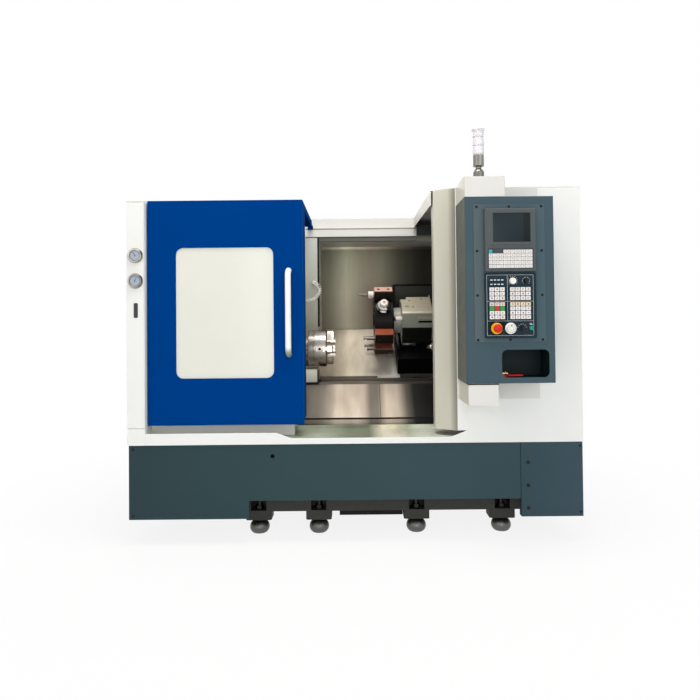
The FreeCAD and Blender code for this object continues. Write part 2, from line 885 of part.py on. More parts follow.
def make_chip_guards():
    seam = turret_left + 14
    high_u = slope_u_at(work_back, cover_n)
    fixed_left = cover_sheet_at(work_left + 1, seam, cover_n, cover_low_u, high_u, 22)
    fixed_right = cover_sheet_at(guard_right, work_right, cover_n, cover_low_u, high_u, 22)
    line = chute_line(0)
    low, high = line[0], line[1]
    chutes = []
    for x0, x1 in ((work_left + 1, seam), (seam + 1.5, work_right)):
        chutes.append(
            prism_x(
                [
                    low,
                    high,
                    (high[0], ledge_z + 1),
                    (high[0] - 2.5, ledge_z + 1),
                    (high[0] - 2.5, high[1] - 4),
                    (low[0] + 2, low[1] - 3),
                    (low[0] + 2, low[1] - 40),
                    (low[0], low[1] - 40),
                ],
                x0,
                x1,
            )
        )
    return Part.makeCompound([fixed_left, fixed_right] + chutes)


def make_guide_ways():
    rails = []
    for u in (rail_low_u, rail_high_u):
        rail = box(
            -200,
            bed_right - 10,
            u - rail_width / 2,
            u + rail_width / 2,
            ways_n,
            ways_n + rail_height,
        )
        for side in (-1, 1):
            edge = u + side * rail_width / 2
            groove = box(
                -201, bed_right, edge - 5 if side > 0 else edge - 1, edge + 1 if side > 0 else edge + 5,
                ways_n + 12, ways_n + 21,
            )
            rail = rail.cut(groove)
        rails.append(on_slope(rail))
    for y0 in (ledge_front + 10.5, ledge_back - 20 - way_width):
        rails.append(
            box(-200, bed_right - 10, y0, y0 + way_width, ledge_z, way_top)
        )
    for x0 in (-196, bed_right - 46):
        block = box(x0, x0 + 36, screw_u - 34, screw_u + 34, ways_n - 14, screw_n + 34)
        block = block.cut(rod_x(x0 - 1, x0 + 37, screw_u, screw_n, screw_radius + run_gap))
        rails.append(on_slope(block))
    return Part.makeCompound(rails)


def make_z_screw():
    screw = turned_x(
        [
            (-192, 0),
            (-192, screw_radius),
            (bed_right - 8, screw_radius),
            (bed_right - 8, screw_radius - 4),
            (bed_right + 14, screw_radius - 4),
            (bed_right + 14, 0),
        ],
        screw_u,
        screw_n,
    )
    return on_slope(screw)


# ---- headstock and spindle drive ------------------------------------------------------------------
def make_headstock():
    left = bed_left + 10
    right = work_left - 6
    outline = [
        (ledge_front - 40, ledge_z + 40),
        (ledge_front - 14, ledge_z),
        (ledge_back - 6, ledge_z),
        (ledge_back - 6, spindle_z + 70),
        (spindle_y + 130, spindle_z + 128),
        (spindle_y - 70, spindle_z + 128),
        (ledge_front - 60, spindle_z + 60),
        (ledge_front - 60, ledge_z + 90),
    ]
    body = prism_x(outline, left, right)
    hollow = []
    for y, z in outline:
        hollow.append((y + (16 if y < spindle_y else -16), z + (22 if z < spindle_z else -16)))
    nose_wall = 2 * bearing_width + 24
    body = body.cut(prism_x(hollow, left + 55, right - nose_wall))
    nose = rod_x(right - 1, right + 12, spindle_y, spindle_z, bearing_radius + 16)
    body = joined([body, nose])
    body = body.cut(rod_x(left - 1, left + 60, spindle_y, spindle_z, bearing_radius))
    body = body.cut(rod_x(right - nose_wall - 1, right + 8, spindle_y, spindle_z, bearing_radius))
    body = body.cut(rod_x(right, right + 13, spindle_y, spindle_z, spindle_nose_radius + 1))
    fins = []
    for index in range(5):
        x = left + 70 + index * 26
        fins.append(box(x, x + 8, spindle_y - 60, spindle_y + 120, spindle_z + 127, spindle_z + 142))
    return joined([body] + fins)


def make_spindle_bearings():
    right = work_left - 6
    left = bed_left + 10
    starts = (right - 8 - bearing_width, right - 10 - 2 * bearing_width, left + 6)
    rings = []
    for x in starts:
        outer = rod_x(x, x + bearing_width, spindle_y, spindle_z, bearing_radius)
        inner = rod_x(x - 1, x + bearing_width + 1, spindle_y, spindle_z, spindle_radius + run_gap)
        ring = outer.cut(inner)
        for face in (x, x + bearing_width):
            groove_out = rod_x(face - 3, face + 3, spindle_y, spindle_z, bearing_radius - 9)
            groove_in = rod_x(face - 4, face + 4, spindle_y, spindle_z, spindle_radius + 9)
            ring = ring.cut(groove_out.cut(groove_in))
        rings.append(ring)
    return Part.makeCompound(rings)


def pulley_profile(x0, width, radius, bore):
    """A ribbed belt pulley between two flanges."""
    ribs = 5
    pitch = (width - 12) / ribs
    profile = [(x0, bore), (x0, radius + 6), (x0 + 5, radius + 6), (x0 + 6, radius)]
    for rib in range(ribs):
        start = x0 + 6 + rib * pitch
        profile.append((start + pitch / 2, radius - 3))
        profile.append((start + pitch, radius))
    profile += [(x0 + width - 5, radius + 6), (x0 + width, radius + 6), (x0 + width, bore)]
    return profile


def make_spindle():
    shaft = turned_x(
        [
            (spindle_left_x, spindle_bore),
            (spindle_left_x, 66),
            (spindle_left_x + 90, 66),
            (spindle_left_x + 90, 40),
            (pulley_x - 20, 40),
            (pulley_x - 20, spindle_radius),
            (work_left - 2, spindle_radius),
            (work_left - 2, spindle_nose_radius),
            (chuck_back_x, spindle_nose_radius),
            (chuck_back_x, spindle_bore),
        ],
        spindle_y,
        spindle_z,
    )
    pulley = turned_x(
        pulley_profile(pulley_x, pulley_width, pulley_radius, spindle_radius - 1), spindle_y, spindle_z
    )
    return joined([shaft, pulley])


def make_motor_pulley():
    pulley = turned_x(
        pulley_profile(pulley_x, pulley_width, motor_pulley_radius, motor_shaft - 1), motor_y, motor_z
    )
    shaft = rod_x(pulley_x - 96, pulley_x + pulley_width, motor_y, motor_z, motor_shaft)
    return joined([pulley, shaft])


def make_drive_motors():
    front = pulley_x - motor_gap
    body = turned_x(
        [
            (front - motor_length, 0),
            (front - motor_length, motor_radius - 22),
            (front - motor_length + 16, motor_radius - 8),
            (front - 40, motor_radius - 8),
            (front - 40, motor_radius),
            (front - 16, motor_radius),
            (front - 16, 60),
            (front, 60),
            (front, 0),
        ],
        motor_y,
        motor_z,
    )
    body = body.cut(rod_x(front - 60, front + 2, motor_y, motor_z, motor_shaft + slip_gap))
    plate = rounded(
        box(front - 16, front - 3, motor_y - 150, motor_y + 150, motor_z - 150, motor_z + 150), 24, 0
    )
    plate = plate.cut(rod_x(front - 20, front + 2, motor_y, motor_z, 60 + 1))
    arm_high = box(front - 15, bed_left, motor_y - 150, motor_y - 126, motor_z - 150, motor_z - 110)
    arm_low = box(front - 15, bed_left, motor_y + 126, motor_y + 150, motor_z - 150, motor_z - 110)
    bracket = joined([plate, arm_high, arm_low])
    fins = []
    for turn in range(0, 360, 24):
        fin = box(
            front - motor_length + 30,
            front - 60,
            motor_y - 3,
            motor_y + 3,
            motor_z + motor_radius - 12,
            motor_z + motor_radius + 4,
        )
        fin.rotate(Vector(0, motor_y, motor_z), Vector(1, 0, 0), turn)
        fins.append(fin)
    spindle_motor = joined([body] + fins)
    servo_x = bed_right + 16
    servo = joined(
        [
            box(servo_x, servo_x + 150, screw_u - 48, screw_u + 48, screw_n - 48, screw_n + 48),
            box(servo_x + 150, servo_x + 190, screw_u - 40, screw_u + 40, screw_n - 40, screw_n + 40),
        ]
    )
    servo_plate = box(bed_right, servo_x, screw_u - 60, screw_u + 60, screw_n - 62, screw_n + 50)
    servo_plate = servo_plate.cut(
        rod_x(bed_right - 1, servo_x + 1, screw_u, screw_n, screw_radius + 1)
    )
    return Part.makeCompound([spindle_motor, bracket, on_slope(servo), on_slope(servo_plate)])


def belt_band(radius_top, radius_low, x0, x1):
    """The solid inside a loop round both pulleys."""
    run_y = motor_y - spindle_y
    run_z = motor_z - spindle_z
    distance = math.hypot(run_y, run_z)
    along = (run_y / distance, run_z / distance)
    side = (-along[1], along[0])
    lean = (radius_top - radius_low) / distance
    keep = math.sqrt(1 - lean * lean)
    points = []
    for sign in (1, -1):
        direction = (
            lean * along[0] + sign * keep * side[0],
            lean * along[1] + sign * keep * side[1],
        )
        top = (spindle_y + radius_top * direction[0], spindle_z + radius_top * direction[1])
        low = (motor_y + radius_low * direction[0], motor_z + radius_low * direction[1])
        points.append((top, low))
    core = prism_x([points[0][0], points[0][1], points[1][1], points[1][0]], x0, x1)
    top_disc = rod_x(x0, x1, spindle_y, spindle_z, radius_top)
    low_disc = rod_x(x0, x1, motor_y, motor_z, radius_low)
    return core.fuse(top_disc).fuse(low_disc).removeSplitter()


def make_drive_belt():
    x0 = pulley_x + 7
    x1 = pulley_x + pulley_width - 7
    inner = slip_gap
    outer = slip_gap + belt_thickness
    loop = belt_band(pulley_radius + outer, motor_pulley_radius + outer, x0, x1)
    return loop.cut(belt_band(pulley_radius + inner, motor_pulley_radius + inner, x0 - 1, x1 + 1))


def make_headstock_cover():
    """Painted guard round the spindle nose: end wall, upper column and lower box."""
    t = sheet
    wall = side_wall(work_left - t, work_left, inner_panel_y + 45, left_roof - t)
    wall = wall.cut(rod_x(work_left - 5, work_left + 5, spindle_y, spindle_z, bearing_radius + 17))
    column_y = 720
    right = work_left + 84
    foot = slope_point(slope_u_at(column_y, cover_n), cover_n + cover_sheet)
    top_foot = slope_point(slope_u_at(work_back, cover_n), cover_n + cover_sheet)
    clear = chuck_radius + 14
    column_outline = [
        (column_y, spindle_z + clear),
        (column_y, beam_underside),
        (work_back, beam_underside),
        (work_back, top_foot[1] + 2),
        (column_y + 190, foot[1] + 114),
        (column_y + 60, spindle_z - 40),
    ]
    column = prism_x(column_outline, work_left, right)
    core = prism_x(
        [
            (column_y + t, spindle_z + clear + t),
            (column_y + t, beam_underside - t),
            (work_back + 1, beam_underside - t),
            (work_back + 1, top_foot[1] + 4),
            (column_y + 190, foot[1] + 120),
            (column_y + 60 + t, spindle_z - 36),
        ],
        work_left - 1,
        right - t,
    )
    column = column.cut(core)
    low_top = spindle_z - chuck_radius - 12
    low = box(work_left, work_left + 94, ledge_front + 10, 716, way_top + 1, low_top)
    low = low.cut(
        box(work_left - 1, work_left + 94 - t, ledge_front + 10 + t, 720, way_top, low_top - t)
    )
    return joined([wall, column, low])


# ---- chuck --------------------------------------------------------------------------------------
def around_chuck(shape, turn):
    placed = shape.copy()
    placed.rotate(Vector(0, spindle_y, spindle_z), Vector(1, 0, 0), turn)
    return placed


def jaw_slot_shape(gap):
    """T-shaped space of one jaw in the chuck face, drawn straight up from the axis."""
    neck = jaw_neck / 2 + gap
    wide = jaw_width / 2 + gap
    floor_x = chuck_face_x - jaw_slot - gap
    mid_x = chuck_face_x - jaw_slot * 0.45
    high = spindle_z + chuck_radius + 5
    low = spindle_z + chuck_bore - 6
    base = box(floor_x, mid_x, spindle_y - wide, spindle_y + wide, low, high)
    throat = box(mid_x - 1, chuck_face_x + 1, spindle_y - neck, spindle_y + neck, low, high)
    return base.fuse(throat)


def make_chuck_body():
    x0 = chuck_back_x
    x1 = chuck_face_x
    r = chuck_radius
    body = turned_x(
        [
            (x0, chuck_bore),
            (x0, r - 4),
            (x0 + 4, r),
            (x0 + 26, r),
            (x0 + 28, r - 3),
            (x0 + 33, r - 3),
            (x0 + 35, r),
            (x1 - 6, r),
            (x1, r - 6),
            (x1, chuck_bore),
        ],
        spindle_y,
        spindle_z,
    )
    for turn in (90, 210, 330):
        body = body.cut(around_chuck(jaw_slot_shape(slip_gap), turn))
        bolt = rod_x(x1 - 16, x1 + 1, spindle_y, spindle_z + r * 0.68, 9)
        body = body.cut(around_chuck(bolt, turn + 60))
        pocket = box(x0 + 44, x0 + 66, spindle_y - 13, spindle_y + 13, spindle_z + r - 9, spindle_z + r + 2)
        body = body.cut(around_chuck(pocket, turn))
    chamber = rod_x(x0 + 6, x0 + 48, spindle_y, spindle_z, 60)
    return body.cut(chamber)


def make_jaw(turn):
    gap = 0
    neck = jaw_neck / 2 - gap
    wide = jaw_width / 2
    floor_x = chuck_face_x - jaw_slot
    shoulder = chuck_face_x - jaw_slot * 0.45 - 1 - 2 * slip_gap
    low = spindle_z + jaw_inner + 2
    high = spindle_z + jaw_inner + jaw_length
    foot = box(floor_x, shoulder, spindle_y - wide, spindle_y + wide, low, high)
    throat = box(shoulder - 1, chuck_face_x + 3, spindle_y - neck, spindle_y + neck, low, high)
    tip = spindle_z + jaw_inner
    face = chuck_face_x + 1.5
    steps = prism_y_block(face, tip, high, wide)
    jaw = joined([foot, throat, steps])
    for x_hole in (high - 20, high - 46):
        hole = rod_x(face + jaw_reach - 16, face + jaw_reach + 1, spindle_y, x_hole, 7)
        jaw = jaw.cut(hole)
    return around_chuck(jaw, turn)


def prism_y_block(face, tip, high, wide):
    """Stepped top jaw seen from the side, tapered towards its gripping tip."""
    reach = jaw_reach - 1.5
    outline = [
        (face, tip + 4),
        (face + reach * 0.35, tip + 4),
        (face + reach * 0.35, tip),
        (face + reach - 2, tip),
        (face + reach, tip + 2),
        (face + reach, tip + jaw_step),
        (face + reach * 0.72, tip + jaw_step + 1),
        (face + reach * 0.72, high - 4),
        (face + reach * 0.72 - 4, high),
        (face, high),
    ]
    block = prism_y(outline, spindle_y - wide, spindle_y + wide)
    for side in (-1, 1):
        edge = spindle_y + side * wide
        inner = spindle_y + side * wide * 0.45
        wedge = prism_x(
            [(edge, tip - 1), (inner, tip - 1), (edge, tip + wide * 0.9)], face - 1, face + jaw_reach + 1
        )
        block = block.cut(wedge)
    return block


def make_drawtube():
    return turned_x(
        [
            (spindle_left_x - 30, 18),
            (spindle_left_x - 30, spindle_bore - run_gap),
            (chuck_back_x + 30, spindle_bore - run_gap),
            (chuck_back_x + 30, 54),
            (chuck_back_x + 44, 54),
            (chuck_back_x + 44, 18),
        ],
        spindle_y,
        spindle_z,
    )


# ---- saddle and turret -----------------------------------------------------------------------------
def make_saddle():
    plate = box(saddle_left, saddle_right, saddle_low_u, saddle_high_u, saddle_under_n, saddle_top_n)
    blocks = []
    top_of_rail = ways_n + rail_height
    for u in (rail_low_u, rail_high_u):
        for x0 in (saddle_left + 8, saddle_right - 78):
            block = box(x0, x0 + 70, u - 30, u + 30, ways_n + 6, saddle_under_n + 1)
            slot = box(
                x0 - 1,
                x0 + 71,
                u - rail_width / 2 - slip_gap,
                u + rail_width / 2 + slip_gap,
                ways_n,
                top_of_rail + slip_gap,
            )
            blocks.append(block.cut(slot))
    nut = box(
        saddle_middle - 32, saddle_middle + 32, screw_u - 34, screw_u + 34, screw_n - 30, saddle_under_n + 1
    )
    for x0 in (saddle_left + 22, saddle_right - 22 - cross_rail):
        rail = box(
            x0, x0 + cross_rail, saddle_low_u, saddle_high_u - 5, saddle_top_n - 1, saddle_top_n + cross_rail_height
        )
        blocks.append(rail)
    for u0 in (saddle_low_u + 2, saddle_high_u - 2):
        bearing = box(
            saddle_middle - 24, saddle_middle + 24, u0, u0 + 20, saddle_top_n - 1, plate_under_n - 3
        )
        blocks.append(bearing)
    shelf = box(
        saddle_middle - 55, saddle_middle + 55, saddle_high_u - 1, saddle_high_u + 92, saddle_top_n - 20, saddle_top_n - 6
    )
    saddle = joined([plate, nut, shelf] + blocks)
    saddle = saddle.cut(
        rod_x(saddle_middle - 40, saddle_middle + 40, screw_u, screw_n, screw_radius + slip_gap)
    )
    bore = Part.makeCylinder(
        cross_screw_radius + run_gap,
        saddle_high_u + 30,
        Vector(saddle_middle, 0, cross_screw_n),
        Vector(0, 1, 0),
    )
    saddle = saddle.cut(bore)
    servo = box(
        saddle_middle - 42,
        saddle_middle + 42,
        saddle_high_u + 24,
        saddle_high_u + 90,
        saddle_top_n - 6,
        cross_screw_n + 50,
    )
    seat = Part.makeCylinder(
        cross_screw_radius + 1,
        12,
        Vector(saddle_middle, saddle_high_u + 22, cross_screw_n),
        Vector(0, 1, 0),
    )
    return Part.makeCompound([on_slope(saddle), on_slope(servo.cut(seat))])


def make_x_screw():
    screw = Part.makeCylinder(
        cross_screw_radius,
        saddle_high_u + 30 - saddle_low_u - 4,
        Vector(saddle_middle, saddle_low_u + 4, cross_screw_n),
        Vector(0, 1, 0),
    )
    return on_slope(screw)


def make_saddle_cover():
    """Black shroud of the saddle with its tower, and the sliding way covers at its sides."""
    under = cover_n + 2 * cover_sheet
    t = shroud_sheet
    foot = slope_point(shroud_low_u, under)
    shoulder = slope_point(shroud_low_u, shroud_top_n)
    root = slope_point(saddle_high_u + 2, shroud_top_n)
    neck = slope_point(saddle_high_u + 2, shroud_top_n + 100)
    back_y = work_back - 6
    tail = slope_point(slope_u_at(back_y, under), under)
    outline = [foot, shoulder, root, neck, (neck[0], tower_top), (back_y, tower_top), (back_y, tail[1])]
    shell = prism_x(outline, shroud_left, shroud_right)
    low = slope_point(shroud_low_u + t, under - 10)
    inside = [
        low,
        slope_point(shroud_low_u + t, shroud_top_n + 10),
        slope_point(saddle_high_u + 2, shroud_top_n + 10),
        slope_point(saddle_high_u + 2, shroud_top_n),
        slope_point(saddle_high_u + 2 + t, shroud_top_n),
        (neck[0] + t, neck[1]),
        (neck[0] + t, tower_top - t),
        (back_y - t, tower_top - t),
        (back_y - t, tail[1] - 15),
    ]
    shell = shell.cut(prism_x(inside, shroud_left + t, shroud_right - t))
    mouth = box(
        shroud_left + t,
        shroud_right - t,
        shroud_low_u + t,
        saddle_high_u - 2,
        shroud_top_n - 30,
        shroud_top_n + 40,
    )
    shell = shell.cut(on_slope(mouth))
    slide_under = cover_n - slide_gap - cover_sheet
    high_u = slope_u_at(work_back - 4, slide_under)
    low_u = cover_low_u + 7
    left_slide = cover_sheet_at(slide_left, saddle_left, slide_under, low_u, high_u, 18)
    right_slide = cover_sheet_at(saddle_right, slide_right, slide_under, low_u, high_u, 18)
    ties = []
    for x0, x1 in ((shroud_left + t, saddle_left), (saddle_right, shroud_right - t)):
        ties.append(on_slope(box(x0, x1, 240, 300, saddle_top_n - 24, saddle_top_n - 4)))
    return Part.makeCompound([joined([shell] + ties), left_slide, right_slide])


def make_turret_housing():
    middle_u = turret_u
    low_u = middle_u - housing_half
    high_u = middle_u + housing_half
    plate = box(saddle_left + 8, saddle_right - 8, low_u, high_u, plate_under_n, plate_top_n)
    pieces = [plate]
    under = saddle_top_n + 9
    for x0 in (saddle_left + 22, saddle_right - 22 - cross_rail):
        for u0 in (low_u + 42, high_u - 68):
            block = box(x0 - 8, x0 + cross_rail + 8, u0, u0 + 60, under, plate_under_n + 1)
            slot = box(
                x0 - slip_gap,
                x0 + cross_rail + slip_gap,
                u0 - 1,
                u0 + 61,
                under - 1,
                saddle_top_n + cross_rail_height + slip_gap,
            )
            pieces.append(block.cut(slot))
    nut = box(
        saddle_middle - 26, saddle_middle + 26, low_u + 85, low_u + 145, cross_screw_n - 20, plate_under_n + 1
    )
    apron = box(
        shroud_left + 6, shroud_right - 6, shroud_low_u - 2, low_u + 1, shroud_top_n + slide_gap, shroud_top_n + slide_gap + 3
    )
    pieces += [nut, apron]
    slide = joined(pieces)
    bore = Part.makeCylinder(
        cross_screw_radius + slip_gap, 400, Vector(saddle_middle, 100, cross_screw_n), Vector(0, 1, 0)
    )
    slide = slide.cut(bore)
    casting = box(housing_left, housing_right, low_u, high_u, plate_top_n, housing_half)
    casting = casting.makeFillet(14, edges_along(casting, 0))
    cavity = box(
        housing_left + 60, housing_right + 1, low_u + 24, high_u - 24, plate_top_n + 24, housing_half - 24
    )
    casting = casting.cut(cavity)
    lid = box(
        housing_right, housing_right + 6, low_u + 12, high_u - 12, plate_top_n + 12, housing_half - 12
    )
    slot = box(
        housing_left + 97, housing_right + 1, low_u - 1, low_u + 12, housing_half - 71, housing_half - 57
    )
    casting = casting.cut(slot)
    back_u = middle_u + housing_top_back
    chamfer = Part.Face(
        Part.makePolygon(
            [
                Vector(housing_left - 1, back_u, housing_half + 1),
                Vector(housing_left - 1, high_u + 1, housing_half + 1),
                Vector(housing_left - 1, high_u + 1, housing_half - 66),
                Vector(housing_left - 1, back_u, housing_half + 1),
            ]
        )
    ).extrude(Vector(housing_width + 2, 0, 0))
    casting = casting.cut(chamfer)
    casting = casting.cut(
        box(housing_left - 1, housing_left + 34, back_u - 30, back_u + 60, housing_half - 30, housing_half + 1)
    )
    pad = box(housing_left + 93, housing_left + 172, low_u - 1, low_u + 1.5, housing_half - 42, housing_half - 24)
    casting = casting.cut(pad)
    oval = box(housing_left + 26, housing_left + 36, middle_u - 53, middle_u - 39, housing_half - 10, housing_half + 2)
    casting = casting.cut(oval)
    for x, u, radius in (
        (housing_left + 26, middle_u - 46, 7),
        (housing_left + 36, middle_u - 46, 7),
        (housing_left + 68, middle_u - 54, 5),
        (housing_left + 52, middle_u + 24, 6),
        (housing_left + 125, middle_u + 40, 6),
    ):
        hole = Part.makeCylinder(radius, 12, Vector(x, u, housing_half - 10), Vector(0, 0, 1))
        casting = casting.cut(hole)
    neck = rod_x(turret_right + 10, housing_left + 1, middle_u, 0, neck_radius)
    front_cover = box(
        housing_left + 2, housing_right - 2, low_u - 6, low_u, plate_top_n + 8, housing_half - 103
    )
    fitting = turned_x(
        [
            (turret_right + 8, 0),
            (turret_right + 8, 9),
            (turret_right + 16, 15),
            (housing_left - 6, 15),
            (housing_left - 6, 11),
            (housing_left, 11),
            (housing_left, 0),
        ],
        middle_u - 96,
        66,
    )
    casting = joined([casting, neck])
    return Part.makeCompound(
        [on_slope(slide), on_slope(casting), on_slope(lid), on_slope(front_cover), on_slope(fitting)]
    )


def station_turns():
    """Angles of the stations about the turret axis, 0 towards the operator, rising."""
    step = 360.0 / turret_stations
    return [step * index for index in range(turret_stations)]


def at_station(shape, turn):
    """Places a shape drawn with the station straight up (+Z) from the turret axis."""
    y, z = slope_point(turret_u, 0)
    placed = shape.copy()
    placed.translate(Vector(0, y, z))
    placed.rotate(Vector(0, y, z), Vector(1, 0, 0), 90 - turn)
    return placed


def make_turret_disc():
    y, z = slope_point(turret_u, 0)
    corner = turret_apothem / math.cos(math.pi / turret_stations)
    outline = []
    for index in range(turret_stations):
        turn = 2 * math.pi * (index + 0.5) / turret_stations
        outline.append((y + corner * math.cos(turn), z + corner * math.sin(turn)))
    disc = prism_x(outline, turret_left, turret_right)
    hub = rod_x(turret_right - 1, turret_right + 9.5, y, z, neck_radius - 8)
    disc = joined([disc, hub])
    disc = disc.cut(rod_x(turret_left - 1, turret_left + 10, y, z, 84))
    boss = turned_x(
        [
            (turret_left + 12, 0),
            (turret_left + 12, 52),
            (turret_left + 4, 52),
            (turret_left - 6, 40),
            (turret_left - 6, 0),
        ],
        y,
        z,
    )
    disc = joined([disc, boss])
    for turn in station_turns():
        port = rod_x(turret_left - 1, turret_left + 14, 0, turret_apothem - 34, 7)
        disc = disc.cut(at_station(port, turn))
    return disc


block_turns = (60, 330, 300, 240, 180, 120)
socket_shift = {330: (-15.0, 32.0), 300: (0.0, 42.0)}  # across the block and off the disc
collet_turn = 30


def make_tool_holders():
    half = tool_block / 2
    holders = []
    for turn in block_turns:
        block = box(turret_left, turret_right - 2, -half, half, turret_apothem, tool_block_top)
        block = block.makeChamfer(5, edges_along(block, 0))
        across, level = socket_shift.get(turn, (0.0, 32.0))
        socket = rod_x(turret_left - 1, turret_left + 61, across, turret_apothem + level, 12.5 + run_gap)
        block = block.cut(socket)
        for x in (turret_left + 24, turret_right - 26):
            screw = rod_z(tool_block_top - 12, tool_block_top + 1, x, 0, 8)
            block = block.cut(screw)
        holders.append(at_station(block, turn))
    middle = turret_left + turret_disc_width / 2
    collet = turned_z(
        [
            (0, turret_apothem),
            (44, turret_apothem),
            (44, turret_apothem + 18),
            (36, turret_apothem + 24),
            (36, turret_apothem + 34),
            (24, turret_apothem + 38),
            (24, turret_apothem + 60),
            (19, turret_apothem + 66),
            (9, turret_apothem + 66),
            (9, turret_apothem + 52),
            (0, turret_apothem + 52),
        ],
        middle,
        0,
    )
    holders.append(at_station(collet, collet_turn))
    return Part.makeCompound(holders)


def make_cutting_tools():
    level = turret_apothem + 32
    deep = turret_left + 58
    pieces = []
    drill = turned_x(
        [
            (deep, 0),
            (deep, 12.5),
            (turret_left - 6, 12.5),
            (turret_left - 6, 19),
            (turret_left - 36, 19),
            (turret_left - 42, 13),
            (turret_left - 42, 5),
            (turret_left - 98, 5),
            (turret_left - 103, 0),
        ],
        0,
        level,
    )
    pieces.append(at_station(drill, 60))
    short_drill = turned_x(
        [
            (deep, 0),
            (deep, 12.5),
            (turret_left - 6, 12.5),
            (turret_left - 6, 18),
            (turret_left - 30, 18),
            (turret_left - 30, 7),
            (turret_left - 72, 7),
            (turret_left - 78, 0),
        ],
        0,
        level,
    )
    pieces.append(at_station(short_drill, 120))
    for turn, reach, radius in ((330, 69, 11), (300, 47, 12.5), (240, 60, 9)):
        across, off_disc = socket_shift.get(turn, (0.0, 32.0))
        level = turret_apothem + off_disc
        bar = turned_x(
            [
                (deep, 0),
                (deep, 12.5),
                (turret_left - 14, 12.5),
                (turret_left - 20, radius),
                (turret_left - reach, radius),
                (turret_left - reach, 0),
            ],
            across,
            level,
        )
        left = turret_left - reach
        flat = box(
            left - 1, left + 20, across - radius - 1, across - 1, level - radius - 1, level + radius + 1
        )
        insert = [
            (across - 1, level),
            (across - 1, level + radius + 5),
            (across - 7, level + radius - 1),
            (across - 7, level),
        ]
        tip = prism_x(insert, left, left + 9)
        pieces.append(at_station(joined([bar.cut(flat), tip]), turn))
    return Part.makeCompound(pieces)


# ---- tailstock -------------------------------------------------------------------------------------
def make_tailstock():
    front = ledge_front - 8
    back = ledge_back - 23
    section = [
        (front, way_top),
        (back, way_top),
        (back, way_top + 30),
        (spindle_y + 100, way_top + 44),
        (spindle_y + 52, spindle_z - 40),
        (spindle_y + 52, spindle_z),
        (spindle_y - 52, spindle_z),
        (spindle_y - 52, spindle_z - 60),
        (front, way_top + 30),
    ]
    body = prism_x(section, tail_left, tail_right)
    barrel = rod_x(tail_left, tail_right, spindle_y, spindle_z, tail_barrel)
    pad = box(tail_left + 60, tail_right - 60, spindle_y - 26, spindle_y + 26, spindle_z + 40, spindle_z + 72)
    body = joined([body, barrel, pad])
    for x0, x1 in ((tail_left + 30, tail_left + 105), (tail_left + 140, tail_right - 30)):
        window = box(x0, x1, front - 1, spindle_y - 30, way_top + 46, spindle_z - 66)
        body = body.cut(rounded(window, 8, 1))
    body = body.cut(rod_x(tail_left - 1, tail_right - 12, spindle_y, spindle_z, quill_radius + run_gap))
    end_bore = rod_x(tail_right - 13, tail_right + 1, spindle_y, spindle_z, 16)
    body = body.cut(end_bore)
    keeper = box(tail_left + 20, tail_right - 20, ledge_front + 62, ledge_back - 72, ledge_z + 4, way_top)
    return joined([body, keeper])


def make_quill():
    right = tail_right - 12 - 2
    quill = rod_x(quill_left, right, spindle_y, spindle_z, quill_radius)
    collar = quill.makeChamfer(3, [quill.Edges[0]])
    seat = rod_x(quill_left - 1, quill_left + 70, spindle_y, spindle_z, centre_shank + run_gap)
    return collar.cut(seat)


def make_live_centre():
    cone_back = centre_tip + centre_cone / math.tan(math.radians(30))
    return turned_x(
        [
            (centre_tip, 0),
            (cone_back, centre_cone),
            (cone_back + 2, centre_cone),
            (cone_back + 2, centre_head),
            (quill_left - 4, centre_head),
            (quill_left - slip_gap, centre_head - 4),
            (quill_left - slip_gap, centre_shank),
            (quill_left + 64, centre_shank),
            (quill_left + 64, 0),
        ],
        spindle_y,
        spindle_z,
    )


